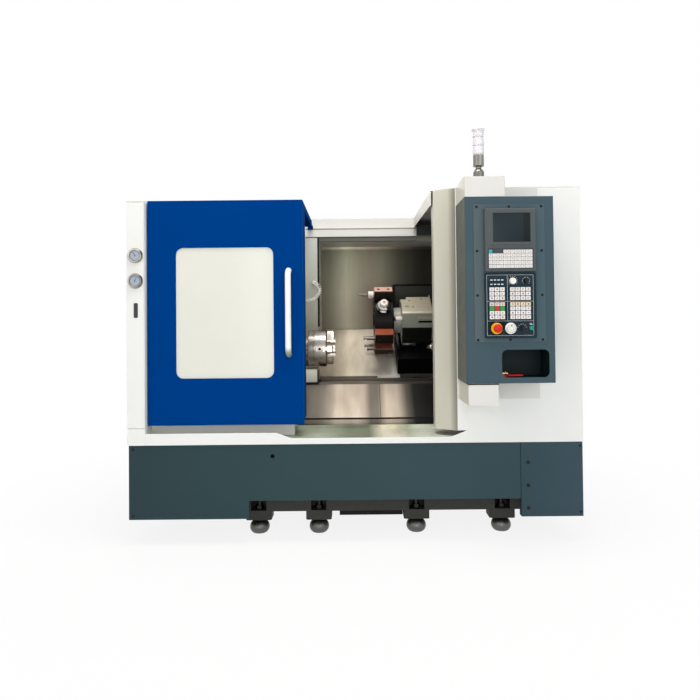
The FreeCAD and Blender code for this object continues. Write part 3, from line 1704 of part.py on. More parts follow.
# ---- sliding door --------------------------------------------------------------------------------------
def make_door_panel():
    y0 = door_front_y
    y1 = y0 + door_thickness
    t = hood_sheet
    front = box(door_left, door_right, y0, y1, door_bottom, door_top)
    front = front.makeFillet(5, [e for e in edges_along(front, 2) if e.CenterOfMass.y < y0 + 1])
    hollow = box(door_left + t, door_right - t, y0 + t, y1 + 1, door_bottom + t, door_top - t)
    skin = front.cut(hollow)
    frame_left = door_left + window_left - 30
    frame_low = door_bottom + window_bottom - 30
    frame = box(
        frame_left,
        frame_left + window_width + 60,
        y0 + t,
        y1 - 8,
        frame_low,
        frame_low + window_height + 60,
    )
    opening = rounded(
        box(
            door_left + window_left,
            door_left + window_left + window_width,
            y0 - 1,
            y1 + 1,
            door_bottom + window_bottom,
            door_bottom + window_bottom + window_height,
        ),
        window_radius,
        1,
    )
    seat = box(
        frame_left + 14,
        frame_left + window_width + 46,
        y0 + t + 2,
        y0 + t + 2 + window_glass,
        frame_low + 14,
        frame_low + window_height + 46,
    )
    edge = box(door_right - t, door_right, y0 + 6, y0 + door_return, door_bottom + 18, door_top)
    edge_fold = box(
        door_right - 22, door_right, y0 + door_return - t, y0 + door_return, door_bottom + 18, door_top - 12
    )
    hood = box(door_left, door_right, y0 + 10, hood_depth, door_top - t, door_top)
    flange_right = box(door_right - t, door_right, y0 + 10, hood_depth, door_top - hood_flange, door_top)
    flange_left = box(door_left, door_left + t, y0 + 10, hood_depth, door_top - 12, door_top)
    flange_back = box(door_left, door_right, hood_depth - t, hood_depth, door_top - hood_flange, door_top)
    rails = []
    for x0 in (door_left + 60, door_right - 40):
        rails.append(box(x0, x0 + 34, hood_depth - 60, beam_y - 16, door_top - 8, door_top - t))
        rails.append(box(x0, x0 + 34, beam_y - 30, beam_y - 16, door_top - 26, door_top - t))
        rails.append(box(x0, x0 + 34, beam_y - 16, beam_y - sheet - 1, door_top - 9.5, door_top - t))
    shoe = box(
        door_left + 12, door_left + 72, door_rail_y - 8, door_rail_y + 20, left_roof + 10, door_top - t
    )
    shoe = shoe.cut(
        box(
            door_left + 11,
            door_left + 73,
            door_rail_y - 0.5,
            door_rail_y + 12.5,
            left_roof + 9,
            left_roof + 38.5,
        )
    )
    parts = [skin, frame, edge, edge_fold, hood, flange_right, flange_left, flange_back, shoe]
    skin = joined(parts + rails)
    return skin.cut(opening).cut(seat)


def make_door_window():
    t = hood_sheet
    y0 = door_front_y + t + 2
    left = door_left + window_left - 16
    low = door_bottom + window_bottom - 16
    pane = box(left, left + window_width + 32, y0, y0 + window_glass, low, low + window_height + 32)
    return pane


def make_door_handle():
    x = door_left + handle_x
    low = door_bottom + handle_bottom + handle_bar
    high = low + handle_length - 2 * handle_bar
    out_y = door_front_y - handle_reach + handle_bar
    bend = 34.0
    points = [
        Vector(x, door_front_y, low),
        Vector(x, out_y + bend, low),
        Vector(x, out_y, low + bend),
        Vector(x, out_y, high - bend),
        Vector(x, out_y + bend, high),
        Vector(x, door_front_y, high),
    ]
    corner_shift = bend * (1 - math.sqrt(0.5))
    low_mid = Vector(x, out_y + corner_shift, low + corner_shift)
    high_mid = Vector(x, out_y + corner_shift, high - corner_shift)
    path = Part.Wire(
        [
            Part.LineSegment(points[0], points[1]).toShape(),
            Part.Arc(points[1], low_mid, points[2]).toShape(),
            Part.LineSegment(points[2], points[3]).toShape(),
            Part.Arc(points[3], high_mid, points[4]).toShape(),
            Part.LineSegment(points[4], points[5]).toShape(),
        ]
    )
    ring = Part.Wire([Part.Circle(points[0], Vector(0, 1, 0), handle_bar).toShape()])
    return path.makePipeShell([ring], True, False)


# ---- service door and its fittings ------------------------------------------------------------------
def make_service_door():
    """Corner door: the pillar's face and the cabinet's left side in one bent sheet."""
    left = -half_width
    edge = left + pillar_width - sheet - 1
    t = sheet
    hinge_y = service_depth + 1
    back = hinge_y - 9
    front = box(left, edge, 0, t, service_bottom, service_top)
    side = box(left, left + t, 0, back, service_bottom, service_top)
    fold_back = box(left, left + 18, back - t, back, service_bottom, service_top)
    fold_front = box(edge - t, edge, 0, 18, service_bottom, service_top)
    pieces = [front, side, fold_back, fold_front]
    for z in (service_bottom, service_top - t):
        pieces.append(box(left, edge, 0, 18, z, z + t))
        pieces.append(box(left, left + 18, 0, back, z, z + t))
    for z0, z1 in hinge_spans()[0::4]:
        pieces.append(rod_z(z0, z1, left + hinge_radius, hinge_y, hinge_radius))
        pieces.append(box(left + t - 1, left + 6, back - 26, hinge_y, z0, z1))
    door = joined(pieces)
    for z0, z1 in hinge_spans()[0::4]:
        bore = rod_z(z0 - 1, z1 + 1, left + hinge_radius, hinge_y, hinge_pin + run_gap)
        door = door.cut(bore)
    for z in gauge_z:
        door = door.cut(rod_y(-1, t + 1, gauge_x, z, gauge_radius - 10 + slip_gap))
    inset = 2.0
    seat = rounded(
        box(
            latch_x - latch_width / 2 + inset,
            latch_x + latch_width / 2 - inset,
            -1,
            t + 1,
            latch_bottom + inset,
            latch_bottom + latch_height - inset,
        ),
        6,
        1,
    )
    pin_z = latch_bottom + latch_height - latch_pin_drop
    pin_bore = rod_x(latch_x - 10.5, latch_x + 10.5, latch_pin_y, pin_z, latch_pin + run_gap)
    return door.cut(seat).cut(pin_bore)


def make_pressure_gauges():
    gauges = []
    for z in gauge_z:
        case = turned_y(
            [
                (26, 0),
                (26, gauge_radius - 10),
                (0, gauge_radius - 10),
                (0, gauge_radius),
                (-5, gauge_radius),
                (-gauge_depth, gauge_radius - 6),
                (-gauge_depth, gauge_dial),
                (-gauge_depth + 6, gauge_dial),
                (-gauge_depth + 6, 0),
            ],
            gauge_x,
            z,
        )
        stem = rod_y(25, 62, gauge_x, z, 8)
        gauges.append(joined([case, stem]))
    return Part.makeCompound(gauges)


def make_latch_handle():
    """Flush lever of the door lock: hinged at the top, its lower end swings out."""
    t = 1.5
    body = rounded(
        box(
            latch_x - latch_width / 2 + 2.5,
            latch_x + latch_width / 2 - 2.5,
            -t,
            t + 1.5,
            latch_bottom + 2.5,
            latch_bottom + latch_height - 3.5,
        ),
        5.5,
        1,
    )
    pin_z = latch_bottom + latch_height - latch_pin_drop
    pin = rod_x(latch_x - 10, latch_x + 10, latch_pin_y, pin_z, latch_pin)
    return joined([body, pin])


# ---- control box -------------------------------------------------------------------------------------
def make_control_box():
    right = box_left + box_width
    top = box_bottom + box_height
    shell = box(box_left, right, -box_reach, -1, box_bottom, top)
    shell = shell.makeFillet(4, [e for e in shell.Edges if e.CenterOfMass.y < -box_reach + 1])
    shell = shell.cut(
        box(box_left + sheet, right - sheet, -box_reach + sheet, -sheet - 1, box_bottom + sheet, top - sheet)
    )
    px0 = box_left + pocket_left
    pz0 = box_bottom + pocket_bottom
    mouth = rounded(
        box(px0, px0 + pocket_width, -box_reach - 1, -box_reach + sheet + 1, pz0, pz0 + pocket_height),
        pocket_radius,
        1,
    )
    tub = box(
        px0 - 6, px0 + pocket_width + 6, -box_reach + sheet, -box_reach + pocket_depth, pz0 - 6, pz0 + pocket_height + 6
    )
    tub = tub.cut(
        box(
            px0 - 4,
            px0 + pocket_width + 4,
            -box_reach,
            -box_reach + pocket_depth - 2,
            pz0 - 4,
            pz0 + pocket_height + 4,
        )
    )
    shell = joined([shell, tub]).cut(mouth)
    window = box(
        box_left + plate_left + 30,
        box_left + plate_left + plate_width - 30,
        -box_reach - 1,
        -box_reach + sheet + 1,
        panel_z - 6,
        unit_z + unit_height + 4,
    )
    return shell.cut(window)


def make_control_ducts():
    upper = box(duct_left, duct_left + duct_width, -box_reach, -1, box_bottom + box_height, roof_height)
    upper = upper.makeFillet(3, edges_along(upper, 2))
    upper = upper.cut(
        box(
            duct_left + sheet,
            duct_left + duct_width - sheet,
            -box_reach + sheet,
            0,
            box_bottom + box_height - 1,
            roof_height - sheet,
        )
    )
    low_z = box_bottom - lower_duct_height
    lower = box(lower_duct_left, lower_duct_left + lower_duct_width, -box_reach, -1, low_z, box_bottom)
    lower = lower.makeFillet(3, edges_along(lower, 2))
    lower = lower.cut(
        box(
            lower_duct_left + sheet,
            lower_duct_left + lower_duct_width - sheet,
            -box_reach + sheet,
            0,
            low_z + sheet,
            box_bottom + 1,
        )
    )
    back_plate = box(
        duct_left, box_left + box_width, -1, 0, low_z, roof_height
    )
    return Part.makeCompound([upper, lower, back_plate])


def make_panel_plate():
    x0 = box_left + plate_left
    z0 = box_bottom + plate_bottom
    plate = rounded(
        box(x0, x0 + plate_width, panel_face, -box_reach, z0, z0 + plate_height), 4, 1
    )
    upper = box(unit_x + 12, unit_x + unit_width - 12, panel_face - 1, 0, unit_z + 12, unit_z + unit_height - 12)
    lower = box(unit_x + 12, unit_x + unit_width - 12, panel_face - 1, 0, panel_z + 12, panel_z + panel_height - 12)
    return plate.cut(upper).cut(lower)


def key_grid(x0, z0, columns, rows, pitch_x, pitch_z, width, height, rise, face):
    keys = []
    for column in range(columns):
        for row in range(rows):
            x = x0 + column * pitch_x
            z = z0 + row * pitch_z
            keys.append(box(x, x + width, face - rise, face, z, z + height))
    return keys


def make_cnc_unit():
    face = panel_face - unit_depth
    bezel = box(unit_x, unit_x + unit_width, face, panel_face, unit_z, unit_z + unit_height)
    bezel = bezel.makeChamfer(3, [e for e in bezel.Edges if e.CenterOfMass.y < face + 1])
    rear = box(
        unit_x + 12.5, unit_x + unit_width - 12.5, panel_face - 1, panel_face + unit_body, unit_z + 12.5, unit_z + unit_height - 12.5
    )
    screen_x = unit_x + 36
    screen_z = unit_z + unit_height - 20 - screen_height
    recess = box(
        screen_x, screen_x + screen_width, face - 1, face + screen_depth + 2, screen_z, screen_z + screen_height
    )
    pad = box(unit_x + 13, unit_x + unit_width - 11, face - 1, face + 1.5, unit_z + 11, unit_z + 104)
    bezel = joined([bezel, rear]).cut(recess).cut(pad)
    soft = key_grid(unit_x + 30, screen_z - 17, 10, 1, 17.8, 0, 12, 7, 2, face)
    keys = key_grid(unit_x + 17, unit_z + 16, 12, 5, 16.1, 16.4, 14.6, 14.6, 3, face + 1.5)
    return Part.makeCompound([bezel] + soft + keys)


def make_cnc_screen():
    face = panel_face - unit_depth
    screen_x = unit_x + 36
    screen_z = unit_z + unit_height - 20 - screen_height
    return box(
        screen_x + 0.5,
        screen_x + screen_width - 0.5,
        face + 2,
        face + screen_depth + 2,
        screen_z + 0.5,
        screen_z + screen_height - 0.5,
    )


def make_operator_panel():
    face = panel_face - panel_depth
    slab = box(unit_x, unit_x + unit_width, face, panel_face, panel_z, panel_z + panel_height)
    slab = slab.makeChamfer(2, [e for e in slab.Edges if e.CenterOfMass.y < face + 1])
    rear = box(
        unit_x + 12.5, unit_x + unit_width - 12.5, panel_face - 1, panel_face + unit_body - 10, panel_z + 12.5, panel_z + panel_height - 12.5
    )
    slab = joined([slab, rear])
    wells = []
    low = panel_z + low_row_z
    wells.append((unit_x + stop_x, low, 9))
    wells.append((unit_x + jog_x, low, 6))
    wells.append((unit_x + selector_x, low, 6))
    wells.append((unit_x + start_x, low, start_radius - 1.5))
    wells.append((unit_x + feed_x, panel_z + knob_row_z, 5))
    wells.append((unit_x + speed_x, panel_z + knob_row_z, 5))
    for x, z, radius in wells:
        slab = slab.cut(rod_y(face - 1, face + 22, x, z, radius + stem_clearance))
    collar = rod_y(face - 4, face, unit_x + stop_x, low, stop_collar)
    collar = collar.cut(rod_y(face - 5, face + 1, unit_x + stop_x, low, 9 + stem_clearance))
    left_x = unit_x + 18
    right_x = unit_x + 109
    keys = key_grid(left_x, panel_z + 168, 3, 3, 23.3, 19.6, 20.5, 17, 2, face)
    keys += key_grid(right_x, panel_z + 168, 4, 3, 23.3, 19.6, 20.5, 17, 2, face)
    keys += key_grid(left_x, panel_z + 84, 3, 4, 23.3, 19.2, 20.5, 16.6, 2, face)
    keys += key_grid(right_x, panel_z + 84, 4, 4, 23.3, 19.2, 20.5, 16.6, 2, face)
    return Part.makeCompound([slab, collar] + keys)


def make_stop_button():
    face = panel_face - panel_depth
    x = unit_x + stop_x
    z = panel_z + low_row_z
    out = face - stop_height
    return turned_y(
        [
            (face + 14, 0),
            (face + 14, 9),
            (out + 16, 9),
            (out + 14, stop_radius),
            (out + 6, stop_radius),
            (out + 1.5, stop_radius * 0.72),
            (out, stop_radius * 0.4),
            (out, 0),
        ],
        x,
        z,
    )


def make_jog_wheel():
    face = panel_face - panel_depth
    x = unit_x + jog_x
    z = panel_z + low_row_z
    wheel = turned_y(
        [
            (face + 16, 0),
            (face + 16, 6),
            (face - 1, 6),
            (face - 1, jog_radius),
            (face - 6, jog_radius),
            (face - 8, jog_radius - 4),
            (face - jog_height, jog_radius - 5),
            (face - jog_height, 0),
        ],
        x,
        z,
    )
    dimple = rod_y(face - jog_height - 1, face - jog_height + 3, x, z - jog_radius * 0.5, 4.5)
    return wheel.cut(dimple)


def knob(x, z, radius, height, stem):
    """A ribbed rotary knob with a pointer flat, on its stem."""
    face = panel_face - panel_depth
    body = turned_y(
        [
            (face + 16, 0),
            (face + 16, stem),
            (face - 1, stem),
            (face - 1, radius),
            (face - 4, radius),
            (face - height, radius - 2.5),
            (face - height, 0),
        ],
        x,
        z,
    )
    pointer = box(x - 1.6, x + 1.6, face - height - 1, face - height + 2, z + radius * 0.3, z + radius + 1)
    return body.cut(pointer)


def make_mode_selector():
    face = panel_face - panel_depth
    x = unit_x + selector_x
    z = panel_z + low_row_z
    base = rod_y(face - 6, face - 1, x, z, selector_radius)
    stem = rod_y(face - 2, face + 16, x, z, 6)
    grip = box(x - 4, x + 4, face - 18, face - 5, z - selector_radius + 1, z + selector_radius - 1)
    grip = grip.makeFillet(2.5, edges_along(grip, 2))
    return joined([base, stem, grip])


def make_start_button():
    face = panel_face - panel_depth
    radius = start_radius - 1.5
    return turned_y(
        [
            (face + 14, 0),
            (face + 14, radius),
            (face - start_height + 2, radius),
            (face - start_height, radius - 2),
            (face - start_height, 0),
        ],
        unit_x + start_x,
        panel_z + low_row_z,
    )


# ---- tower light ----------------------------------------------------------------------------------------
def make_light_base():
    z = roof_height
    r = light_radius
    return turned_z(
        [
            (0, z),
            (r - 1, z),
            (r - 1, z + 44),
            (r - 5, z + 53),
            (13, z + 61),
            (13, z + 68),
            (r - 7, z + 70),
            (r - 1, z + 73),
            (r - 1, light_top - lens_height),
            (0, light_top - lens_height),
        ],
        light_x,
        light_y,
    )


def make_light_lens():
    tiers = []
    height = (lens_height - 7) / 3
    base = light_top - lens_height
    for tier in range(3):
        z = base + tier * (height + 1)
        top = z + height
        r = light_radius
        profile = [(0, z), (r - 3, z), (r - 3, z + 4), (r, z + 6), (r, top - 2), (r - 2, top), (0, top)]
        if tier == 2:
            lip = r + lens_lip
            profile = profile[:4] + [(r, top - 9), (lip, top - 3), (lip, top + 2), (r - 2, top + 5), (0, top + 5)]
        tiers.append(turned_z(profile, light_x, light_y))
    tiers.append(rod_z(base + height, base + height + 1, light_x, light_y, light_radius - 4))
    tiers.append(rod_z(base + 2 * height + 1, base + 2 * height + 2, light_x, light_y, light_radius - 4))
    return joined(tiers)


# ---- curly air hose ---------------------------------------------------------------------------------------
hose_radius = 10.0           # outside of the curls
hose_route = (
    (-238.0, 698.0, 1304.0),
    (-238.0, 668.0, 1304.0),
    (-222.0, 650.0, 1296.0),
    (-204.0, 642.0, 1278.0),
    (-200.0, 640.0, 1252.0),
    (-212.0, 640.0, 1228.0),
    (-236.0, 640.0, 1212.0),
    (-262.0, 640.0, 1202.0),
    (-286.0, 640.0, 1202.0),
)


def rounded_path(points):
    """Straight runs joined by tangent arcs, as wide as the runs allow."""
    corners = [Vector(*point) for point in points]
    edges = []
    start = corners[0]
    radii = []
    for index in range(1, len(corners) - 1):
        before = corners[index] - corners[index - 1]
        after = corners[index + 1] - corners[index]
        turn = before.getAngle(after)
        trim = 0.45 * min(before.Length, after.Length)
        radii.append(trim / math.tan(turn / 2))
        before.normalize()
        after.normalize()
        into = corners[index] - before * trim
        out = corners[index] + after * trim
        sideways = after - before
        sideways.normalize()
        depth = radii[-1] / math.cos(turn / 2) - radii[-1]
        middle = corners[index] + sideways * depth
        edges.append(Part.LineSegment(start, into).toShape())
        edges.append(Part.Arc(into, middle, out).toShape())
        start = out
    edges.append(Part.LineSegment(start, corners[-1]).toShape())
    return Part.Wire(edges), radii


def make_air_hose():
    path, radii = rounded_path(hose_route)
    print("hose bend radii", [round(radius, 1) for radius in radii])
    first = Vector(*hose_route[0])
    heading = Vector(*hose_route[1]) - first
    ring = Part.Wire([Part.Circle(first, heading, hose_radius).toShape()])
    hose = path.makePipeShell([ring], True, False)
    print("hose volume", round(hose.Volume), round(math.pi * hose_radius**2 * path.Length))
    return hose


def make_hose_fittings():
    x, y, z = hose_route[0]
    wall_y = 720.0
    upper = turned_y([(wall_y, 0), (wall_y, 13), (wall_y - 8, 13), (wall_y - 8, 9), (y, 9), (y, 0)], x, z)
    end_x, end_y, end_z = hose_route[-1]
    lower = turned_x(
        [
            (work_left, 0),
            (work_left, 13),
            (work_left + 6, 13),
            (work_left + 6, 9),
            (end_x, 9),
            (end_x, 0),
        ],
        end_y,
        end_z,
    )
    return Part.makeCompound([upper, lower])


# ---- the whole machine -------------------------------------------------------------------------------------
def build():
    low = panel_z + low_row_z
    return {
        "bed_casting": make_bed_casting(),
        "levelling_feet": make_levelling_feet(),
        "base_skirt": make_base_skirt(),
        "base_end_cover": make_base_end_cover(),
        "panel_screws": make_panel_screws(),
        "coolant_tray": make_coolant_tray(),
        "left_cabinet": make_left_cabinet(),
        "right_cabinet": make_right_cabinet(),
        "roof_beam": make_roof_beam(),
        "front_sill": make_front_sill(),
        "inner_front_panel": make_inner_front_panel(),
        "rear_cover": make_rear_cover(),
        "back_wall": make_back_wall(),
        "chip_guards": make_chip_guards(),
        "guide_ways": make_guide_ways(),
        "z_screw": make_z_screw(),
        "headstock": make_headstock(),
        "headstock_cover": make_headstock_cover(),
        "spindle_bearings": make_spindle_bearings(),
        "spindle": make_spindle(),
        "motor_pulley": make_motor_pulley(),
        "drive_motors": make_drive_motors(),
        "drive_belt": make_drive_belt(),
        "chuck_body": make_chuck_body(),
        "jaw_front": make_jaw(90),
        "jaw_upper": make_jaw(330),
        "jaw_lower": make_jaw(210),
        "drawtube": make_drawtube(),
        "saddle": make_saddle(),
        "saddle_cover": make_saddle_cover(),
        "x_screw": make_x_screw(),
        "turret_housing": make_turret_housing(),
        "turret_disc": make_turret_disc(),
        "tool_holders": make_tool_holders(),
        "cutting_tools": make_cutting_tools(),
        "tailstock": make_tailstock(),
        "quill": make_quill(),
        "live_centre": make_live_centre(),
        "door_panel": make_door_panel(),
        "door_window": make_door_window(),
        "door_handle": make_door_handle(),
        "service_door": make_service_door(),
        "pressure_gauges": make_pressure_gauges(),
        "latch_handle": make_latch_handle(),
        "control_box": make_control_box(),
        "control_ducts": make_control_ducts(),
        "panel_plate": make_panel_plate(),
        "cnc_unit": make_cnc_unit(),
        "cnc_screen": make_cnc_screen(),
        "operator_panel": make_operator_panel(),
        "stop_button": make_stop_button(),
        "jog_wheel": make_jog_wheel(),
        "feed_knob": knob(unit_x + feed_x, panel_z + knob_row_z, feed_radius, knob_height, 5),
        "speed_knob": knob(unit_x + speed_x, panel_z + knob_row_z, speed_radius, knob_height, 5),
        "mode_selector": make_mode_selector(),
        "start_button": make_start_button(),
        "light_base": make_light_base(),
        "light_lens": make_light_lens(),
        "air_hose": make_air_hose(),
        "hose_fittings": make_hose_fittings(),
    }


for name, shape in build().items():
    shape.translate(Vector(0, -origin_y, 0))
    shape.exportStep("parts/" + name + ".step")
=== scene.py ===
import bpy
import math
from mathutils import Matrix, Vector


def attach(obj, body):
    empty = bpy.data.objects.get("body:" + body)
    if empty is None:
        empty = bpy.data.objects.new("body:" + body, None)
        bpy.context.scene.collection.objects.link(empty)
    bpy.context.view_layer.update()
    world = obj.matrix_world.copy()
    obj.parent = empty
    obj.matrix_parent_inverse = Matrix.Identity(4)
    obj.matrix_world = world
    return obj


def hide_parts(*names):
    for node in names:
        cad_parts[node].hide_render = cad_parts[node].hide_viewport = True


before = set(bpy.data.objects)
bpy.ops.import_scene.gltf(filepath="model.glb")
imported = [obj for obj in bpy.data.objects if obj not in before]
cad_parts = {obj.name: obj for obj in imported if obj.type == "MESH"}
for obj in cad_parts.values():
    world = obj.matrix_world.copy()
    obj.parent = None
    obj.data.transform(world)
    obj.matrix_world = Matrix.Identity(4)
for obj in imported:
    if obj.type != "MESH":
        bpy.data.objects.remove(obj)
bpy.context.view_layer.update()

# ---- camera ----
# A level-eyed view from 2.95 m in front of the cabinet, tipped up by under a degree and rolled by
# half a degree. The small shift puts the horizon where the photograph has it.
cabinet_front = -0.605
sensor, picture_side, picture_focus = 36.0, 700.0, 610.0
camera_data = bpy.data.cameras.new("camera")
camera_data.sensor_width = sensor
camera_data.lens = sensor * picture_focus / picture_side
camera_data.shift_x = -4.5 / picture_side
camera_data.shift_y = -41.8 / picture_side
camera_data.clip_end = 60.0


def placed(name, data):
    """A new object, linked to the scene."""
    piece = bpy.data.objects.new(name, data)
    bpy.context.scene.collection.objects.link(piece)
    return piece


camera = placed("camera", camera_data)
bpy.context.scene.camera = camera
tilt = Matrix.Rotation(math.radians(90.9), 4, "X") @ Matrix.Rotation(math.radians(-0.55), 4, "Z")
camera.matrix_world = Matrix.Translation((0.003, cabinet_front - 2.95, 1.091)) @ tilt


# ---- coiled air hose ----
# White polyurethane coil that feeds the blow gun behind the spindle guard. A thin tube wound into
# a spring, pushed into a fitting at each end, which hangs in a loop between them.
def added(data, kind, values=(), **settings):
    """A new shader node in a material or world, with its settings made and sockets filled."""
    node = data.node_tree.nodes.new("ShaderNode" + kind)
    for setting, value in settings.items():
        setattr(node, setting, value)
    for socket, value in dict(values).items():
        node.inputs[socket].default_value = value
    return node


def links(data, *pairs):
    for output, target in pairs:
        data.node_tree.links.new(output, target)


def blank(name):
    """A new material, its shader, and the output that reads the object's own place."""
    finish = bpy.data.materials.new(name)
    finish.use_nodes = True
    shader = finish.node_tree.nodes["Principled BSDF"]
    return finish, shader, added(finish, "TexCoord").outputs["Object"]


def noise(finish, place, scale, detail=3.0, stretch=(1.0, 1.0, 1.0)):
    mapping = added(finish, "Mapping", {"Scale": stretch})
    cloud = added(finish, "TexNoise", {"Scale": scale, "Detail": detail})
    links(finish, (place, mapping.inputs["Vector"]), (mapping.outputs[0], cloud.inputs["Vector"]))
    return cloud.outputs["Fac"]


def ramp(finish, source, stops):
    """Turns a 0 to 1 value into colours: stops are (place, (r, g, b))."""
    node = added(finish, "ValToRGB")
    bands = node.color_ramp.elements
    while len(bands) < len(stops):
        bands.new(0.5)
    for band, (where, colour) in zip(bands, stops):
        band.position = where
        band.color = (*colour, 1.0)
    links(finish, (source, node.inputs["Fac"]))
    return node.outputs["Color"]


def spread(finish, source, low, high, floor=0.3, ceiling=0.7):
    """The source stretched, so that floor to ceiling becomes low to high."""
    ranges = {"From Min": floor, "From Max": ceiling, "To Min": low, "To Max": high}
    node = added(finish, "MapRange", ranges)
    links(finish, (source, node.inputs["Value"]))
    return node.outputs["Result"]


def tone(red, green, blue):
    """A screen colour of 0 to 255 as the shader's own values."""
    values = []
    for part in (red, green, blue):
        part /= 255
        values.append(part / 12.92 if part <= 0.04045 else ((part + 0.055) / 1.055) ** 2.4)
    return tuple(values)


def mottled(finish, source, colour, dark, light, low=0.3, high=0.7):
    """A screen colour that drifts between dark times and light times its own shade."""
    shades = [[min(1.0, part * share) for part in tone(*colour)] for share in (dark, light)]
    return ramp(finish, source, [(low, shades[0]), (high, shades[1])])


def surface(finish, shader, colour, sheen, low, high, grain=None, depth=0.0, distance=0.0002):
    """Joins up a shader: colour, a roughness from low to high after the sheen, and a grain."""
    roughness = spread(finish, sheen, low, high)
    links(finish, (colour, shader.inputs["Base Color"]), (roughness, shader.inputs["Roughness"]))
    if grain is not None:
        bump = added(finish, "Bump", {"Strength": depth, "Distance": distance})
        links(finish, (grain, bump.inputs["Height"]), (bump.outputs[0], shader.inputs["Normal"]))
    return finish


def moulded(name, colour, rough, grain, depth, cloud=0.04, shine=0.2):
    """Moulded plastic: a fine spark-eroded grain and a faint change of shade."""
    finish, shader, place = blank(name)
    shader.inputs["Specular IOR Level"].default_value = shine
    base = mottled(finish, noise(finish, place, 9.0), colour, 1 - cloud, 1 + cloud)
    sheen, sparks = noise(finish, place, 60.0), noise(finish, place, grain, 2.0)
    return surface(finish, shader, base, sheen, rough - 0.05, rough + 0.07, sparks, depth)


def smooth_line(name, points, thickness=0.0):
    """A curve of one NURBS spline with the points as its control points."""
    data = bpy.data.curves.new(name, "CURVE")
    data.dimensions = "3D"
    data.resolution_u = 8
    line = data.splines.new("NURBS")
    line.points.add(len(points) - 1)
    for control, point in zip(line.points, points):
        control.co = (*point, 1.0)
    line.order_u = 3
    line.use_endpoint_u = True
    data.bevel_depth = thickness
    data.bevel_resolution = 3
    data.use_fill_caps = thickness > 0
    return placed(name, data)


hose_route = (
    (-0.238, 0.093, 1.304),
    (-0.238, 0.063, 1.304),
    (-0.222, 0.045, 1.296),
    (-0.204, 0.037, 1.278),
    (-0.200, 0.035, 1.250),
    (-0.209, 0.035, 1.226),
    (-0.230, 0.035, 1.207),
    (-0.256, 0.035, 1.198),
    (-0.272, 0.035, 1.197),
    (-0.286, 0.035, 1.197),
)
hose_tube = 0.0026
hose_coil = 0.012 - hose_tube
hose_turn = 0.0118
straight_end = 0.016
turn_steps = 12
hose_line = smooth_line("hose_line", hose_route)
bpy.context.view_layer.update()
graph = bpy.context.evaluated_depsgraph_get()
hose_path = bpy.data.meshes.new_from_object(hose_line.evaluated_get(graph))
hose_points = [point.co.copy() for point in hose_path.vertices]
bpy.data.objects.remove(hose_line)
hose_runs = [0.0]
for before, after in zip(hose_points, hose_points[1:]):
    hose_runs.append(hose_runs[-1] + (after - before).length)
coil_points = []
coil_side = Vector((0.0, 0.0, 1.0))
coil_steps = int(hose_runs[-1] / hose_turn * turn_steps)
for step in range(coil_steps + 1):
    reach = hose_runs[-1] * step / coil_steps
    leg = max(1, next(i for i, run in enumerate(hose_runs) if run >= reach - 1e-9))
    share = (reach - hose_runs[leg - 1]) / (hose_runs[leg] - hose_runs[leg - 1])
    middle = hose_points[leg - 1].lerp(hose_points[leg], share)
    ahead = (hose_points[leg] - hose_points[leg - 1]).normalized()
    coil_side = (coil_side - ahead * coil_side.dot(ahead)).normalized()
    across = ahead.cross(coil_side)
    swell = min(1.0, reach / straight_end, (hose_runs[-1] - reach) / straight_end)
    swell = max(0.0, swell) ** 1.6
    angle = math.tau * step / turn_steps
    offset = (coil_side * math.cos(angle) + across * math.sin(angle)) * hose_coil * swell
    coil_points.append(middle + offset)
air_hose = smooth_line("air_hose_coil", coil_points, hose_tube)
air_hose.data.materials.append(moulded("hose_white", (255, 253, 250), 0.3, 500.0, 0.03))
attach(air_hose, "machine")
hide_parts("air_hose")


# ---- bed casting and levelling pads ----
# Ribbed grey-iron casting under everything, painted dark, on eight machined pads whose studs and
# nuts set its level. The cross-beam and two lugs show through the cut-out in the skirt.
def alone(piece):
    bpy.ops.object.select_all(action="DESELECT")
    piece.select_set(True)
    bpy.context.view_layer.objects.active = piece


def mode(kind):
    bpy.ops.object.mode_set(mode=kind)


def break_edges(piece, width, segments, angle, harden):
    """Rounds the edges sharper than an angle, as a press or a file leaves them."""
    bevel = piece.modifiers.new("edge", "BEVEL")
    bevel.width = width
    bevel.segments = segments
    bevel.limit_method = "ANGLE"
    bevel.angle_limit = math.radians(angle)
    bevel.harden_normals = harden
    bpy.ops.object.modifier_apply(modifier="edge")


def dressed(node, finishes, edge, body="machine"):
    """The node's own solids with facets joined, edges broken and finishes put on."""
    piece = placed(node + "_dressed", bpy.data.objects[node].data.copy())
    piece.data.materials.clear()
    for finish in finishes:
        piece.data.materials.append(finish)
    alone(piece)
    bpy.ops.mesh.customdata_custom_splitnormals_clear()
    mode("EDIT")
    bpy.ops.mesh.select_all(action="SELECT")
    bpy.ops.mesh.remove_doubles(threshold=0.00001)
    bpy.ops.mesh.dissolve_limited(angle_limit=math.radians(0.6))
    mode("OBJECT")
    for face in piece.data.polygons:
        face.material_index = 0
    bpy.ops.object.shade_smooth_by_angle(angle=math.radians(32))
    if edge:
        break_edges(piece, edge, 2, 32, True)
    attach(piece, body)
    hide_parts(node)
    return piece


def times(finish, one, other):
    """One colour multiplied by another."""
    mix = added(finish, "Mix", {"Factor": 1.0}, data_type="RGBA", blend_type="MULTIPLY")
    links(finish, (one, mix.inputs["A"]), (other, mix.inputs["B"]))
    return mix.outputs["Result"]


def worn(finish, base, source, low, shade, high):
    """The base colour, down to this share of itself where the source is low."""
    return times(finish, base, ramp(finish, source, [(low, (shade,) * 3), (high, (1.0,) * 3)]))


